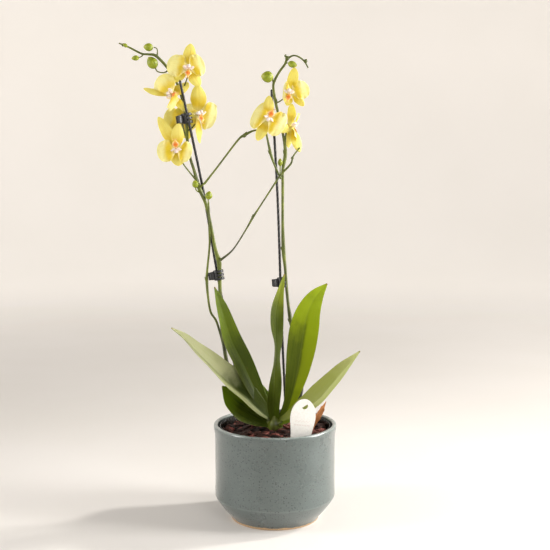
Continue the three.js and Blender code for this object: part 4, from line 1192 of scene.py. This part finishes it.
def make_stakes(black):
    for name, run in STAKES.items():
        t = np.linspace(0, 1, 420)
        value, slope = smooth_run(run, t)
        along = unit(slope[:, :3])
        across = unit(np.cross(along, (0, 1, 0.2)))
        out = np.cross(across, along)
        length = np.concatenate([[0], np.cumsum(np.linalg.norm(np.diff(value, axis=0), axis=1))])
        turn = np.linspace(0, 2 * math.pi, 40, endpoint=False)
        phase = turn[None, :] - 2 * math.pi * length[:, None] / STAKE_TWIST
        from_top = length[-1] - length
        dome = np.sqrt(np.clip(1 - np.clip(1 - from_top / 1.4, 0, 1) ** 2, 0.02, 1))
        r = STAKE_R * (0.93 + 0.07 * np.cos(STAKE_RIBS * phase)) * dome[:, None]
        rings = (value[:, None] + across[:, None] * (r * np.cos(turn))[..., None]
                 + out[:, None] * (r * np.sin(turn))[..., None])
        mesh = Mesh().loft(rings)
        install(mesh.object(name + "_ribbed", black), name)


def bar_rings(path, width, height, corner=0.35, around=20):
    """Rings of a rounded bar along a flat path in the XY plane; height is along Z."""
    path = np.asarray(path, float)
    along = unit(np.gradient(path, axis=0))
    out = np.cross(along, (0, 0, 1))
    turn = np.linspace(0, 2 * math.pi, around, endpoint=False)
    flat = np.sign(np.cos(turn)) * np.abs(np.cos(turn)) ** corner * width / 2
    tall = np.sign(np.sin(turn)) * np.abs(np.sin(turn)) ** corner * height / 2
    return (path[:, None] + out[:, None] * flat[None, :, None]
            + np.array((0, 0, 1.0)) * tall[None, :, None])


def add_claws(mesh, side):
    """Three hooks on one side and the web that holds them together."""
    stop = 0.06 * math.pi if side == 1 else 0.16 * math.pi
    angle = np.linspace(CLAW_START, stop, 30)
    squeeze = 1 + 0.05 * np.cos(2 * angle)
    for z in (-CLIP_HEIGHT / 2 + 1.2, 0, CLIP_HEIGHT / 2 - 1.2):
        path = np.stack([CLIP_R * squeeze * np.cos(angle),
                         side * CLIP_R * squeeze * np.sin(angle), np.full(30, z)], axis=1)
        mesh.loft(bar_rings(path, 1.25, 3.1))
    angle = np.linspace(CLAW_START, math.pi * 0.66, 10)
    path = np.stack([CLIP_R * np.cos(angle), side * CLIP_R * np.sin(angle), np.zeros(10)], axis=1)
    mesh.loft(bar_rings(path, 1.5, CLIP_HEIGHT))


def add_tab(mesh, side):
    """A finger tab with four raised ridges."""
    tab = [(-CLIP_R - 0.4, side * 1.5, 0), (-CLIP_R - 2.4, side * 2.1, 0),
           (-CLIP_R - 4.6, side * 3.0, 0), (-CLIP_R - 6.8, side * 3.7, 0)]
    path, _ = smooth_run(tab, np.linspace(0, 1, 16))
    mesh.loft(bar_rings(path, 1.4, 8.6, 0.3))
    for x, y, _ in path[9:13]:
        add_tube(mesh, [(x, y + side * 0.75, z, 0.32) for z in np.linspace(-3.4, 3.4, 5)], 6, 8)


def add_spring(mesh):
    """The barrel between the tabs and the wire spring coiled round it."""
    x = -CLIP_R - 1.9
    ends = ((-4.9, 1.0), (-4.7, 2.2), (-4.2, 2.4), (0, 2.4), (4.2, 2.4), (4.7, 2.2), (4.9, 1.0))
    add_tube(mesh, [(x, 0, z, r) for z, r in ends], 40, 28)
    coil = []
    for k in range(150):
        a = 2 * math.pi * k / 18
        coil.append((x + COIL_R * math.cos(a), COIL_R * math.sin(a), -3.6 + 7.2 * k / 149, 0.28))
    add_tube(mesh, coil, 450, 8, slot=1)


def make_clips(black, steel):
    """Sprung claw clips: hooked claws round the stem and stake, a sprung barrel, two tabs."""
    for name, (at, turn, lean) in CLIPS.items():
        mesh = Mesh()
        for side in (-1, 1):
            add_claws(mesh, side)
            add_tab(mesh, side)
        add_spring(mesh)
        place = (Matrix.Translation(at) @ Matrix.Rotation(math.radians(lean), 4, "Y")
                 @ Matrix.Rotation(math.radians(turn), 4, "Z"))
        mesh.points = [tuple(place @ Vector(p)) for p in mesh.points]
        install(mesh.object(name + "_claw", black, steel), name)


def tag_outline():
    """Outline of the label from its foot, in its own plane."""
    right = []
    for start, a, b, end in (((10, -20), (10.6, -13), (11.2, -7), (11.8, 0)),
                             ((11.8, 0), (13, 10), (15.5, 18), (14.3, 24)),
                             ((14.3, 24), (13.5, 34), (7, 41.5), (0, 41.5))):
        for u in np.linspace(0, 1, 16, endpoint=False):
            right.append((1 - u)**3 * np.array(start) + 3 * u * (1 - u)**2 * np.array(a)
                         + 3 * u * u * (1 - u) * np.array(b) + u**3 * np.array(end))
    right.append(np.array((0, 41.5)))
    left = [np.array((-p[0], p[1])) for p in right[-2::-1]]
    return right + left


def make_tag():
    """The label, cut from a sheet with its half-moon hole, stood up in the bark."""
    thickness = 0.9
    hole_x, hole_y, hole_r = 0.6, 33.4, 3.7
    edit = bmesh.new()
    outer = [edit.verts.new((x, y, 0)) for x, y in tag_outline()]
    moon = [edit.verts.new((hole_x + hole_r * math.cos(a), hole_y + hole_r * math.sin(a), 0))
            for a in np.linspace(1.2 * math.pi, 2.2 * math.pi, 28)]
    rims = []
    for loop in (outer, moon):
        rims += [edit.edges.new((a, b)) for a, b in zip(loop, loop[1:] + loop[:1])]
    bmesh.ops.triangle_fill(edit, edges=rims, use_beauty=True)
    front = list(edit.faces)
    raised = bmesh.ops.extrude_face_region(edit, geom=front)["geom"]
    bmesh.ops.translate(edit, verts=[v for v in raised if isinstance(v, bmesh.types.BMVert)],
                        vec=(0, 0, thickness))
    bmesh.ops.recalc_face_normals(edit, faces=edit.faces)
    sharp = [e for e in edit.edges if e.is_manifold and e.calc_face_angle() > 1.0]
    bmesh.ops.bevel(edit, geom=sharp, offset=0.16, segments=2, affect="EDGES", profile=0.6)
    edit.verts.index_update()
    place = (Matrix.Translation((29.5, -46, 111)) @ Matrix.Rotation(math.radians(8), 4, "Z")
             @ Matrix.Rotation(math.radians(6.5), 4, "Y")
             @ Matrix.Rotation(math.radians(90), 4, "X")
             @ Matrix.Translation((0, 0, -thickness / 2)))
    mesh = Mesh()
    mesh.add([tuple(place @ v.co) for v in edit.verts],
             [[v.index for v in f.verts] for f in edit.faces],
             [(v.co.x, v.co.y, v.co.z / thickness) for v in edit.verts])
    edit.free()
    install(mesh.object("label_tongue", tag_material(), smooth=False), "tag")


# ------------------------------------------------------------------ stage and lamps
def make_stage():
    """A pale floor that curves up into a wall far behind and around."""
    curve = np.linspace(0.1, math.pi / 2, 12)
    outline = [*((r, 0) for r in np.linspace(300, STAGE_R, 8)),
               *((STAGE_R + STAGE_CURVE_R * math.sin(a), STAGE_CURVE_R * (1 - math.cos(a)))
                 for a in curve),
               (STAGE_R + STAGE_CURVE_R, STAGE_WALL_Z)]
    mesh = Mesh()
    mesh.add([], [tuple(range(STAGE_SIDES))])
    mesh.loft([circle(r, STAGE_SIDES, z) for r, z in outline], ends=False)
    mesh.object("pale_stage", stage_material())


def lamp(name, place, target, width, height, power, tint, spread=180):
    """An area lamp at a place in metres, turned to its target; spread is in degrees."""
    light = bpy.data.lights.new(name, "AREA")
    light.shape = "RECTANGLE"
    light.size = width
    light.size_y = height
    light.energy = power
    light.color = tint
    light.spread = math.radians(spread)
    holder = bpy.data.objects.new(name, light)
    holder.location = place
    aim = Vector(target) - Vector(place)
    holder.rotation_euler = aim.to_track_quat("-Z", "Y").to_euler()
    bpy.context.scene.collection.objects.link(holder)


def make_light():
    """A small hard key from the right and behind, a panel on each side, a front fill, a sky."""
    world = bpy.data.worlds.new("soft_sky")
    world.use_nodes = True
    sky = world.node_tree.nodes["Background"]
    sky.inputs["Color"].default_value = SKY_TINT
    sky.inputs["Strength"].default_value = SKY_STRENGTH
    bpy.context.scene.world = world
    lamp("key", (1.35, 0.4, 1.05), (0, 0, 0.32), 0.14, 0.14, 21, (1.0, 0.97, 0.92))
    lamp("right_panel", (1.2, -0.22, 0.52), (0, 0, 0.14), 0.45, 1.0, 5.0, (1.0, 0.99, 0.97), 80)
    lamp("front_fill", (0.6, -1.7, 0.95), (0, 0, 0.42), 0.7, 0.7, 8, (1.0, 0.99, 0.98))
    lamp("left_panel", (-1.1, -0.3, 0.52), (0, 0, 0.14), 0.3, 1.0, 1.9, (1.0, 0.99, 0.98), 80)


# ------------------------------------------------------------------ everything
make_pot()
make_liner()
make_bark()
# The last two numbers of each stem material are the heights, in millimetres, over which painted
# shade darkens it towards its foot.
stem_low = stem_material("stem_dark_foot", colour(72, 82, 12), colour(34, 40, 6), 130, 310)
stem_fresh = stem_material("stem_fresh", colour(74, 86, 10), colour(38, 46, 6), 70, 126)
stem_dusky = stem_material("stem_dusky", colour(66, 76, 14), colour(32, 36, 8), 250, 400)
make_crown(stem_fresh)
make_leaves()
make_sheath()
make_stems({
    "spike_left": stem_low, "spike_left_thin": stem_low, "spike_right": stem_low,
    "branch_left_long": stem_dusky, "branch_left_upper": stem_fresh, "branch_right": stem_fresh,
})
make_buds()
make_flowers()
stake_black = plastic_material("stake_black", (0.004, 0.004, 0.005, 1), 0.16, 300)
make_stakes(stake_black)
clip_black = plastic_material("clip_black", (0.006, 0.006, 0.007, 1), 0.3, 500)
spring_steel = plastic_material("spring_dark", (0.06, 0.06, 0.065, 1), 0.3, 800)
make_clips(clip_black, spring_steel)
make_tag()
make_stage()
make_light()
bpy.context.scene.view_settings.view_transform = "Standard"
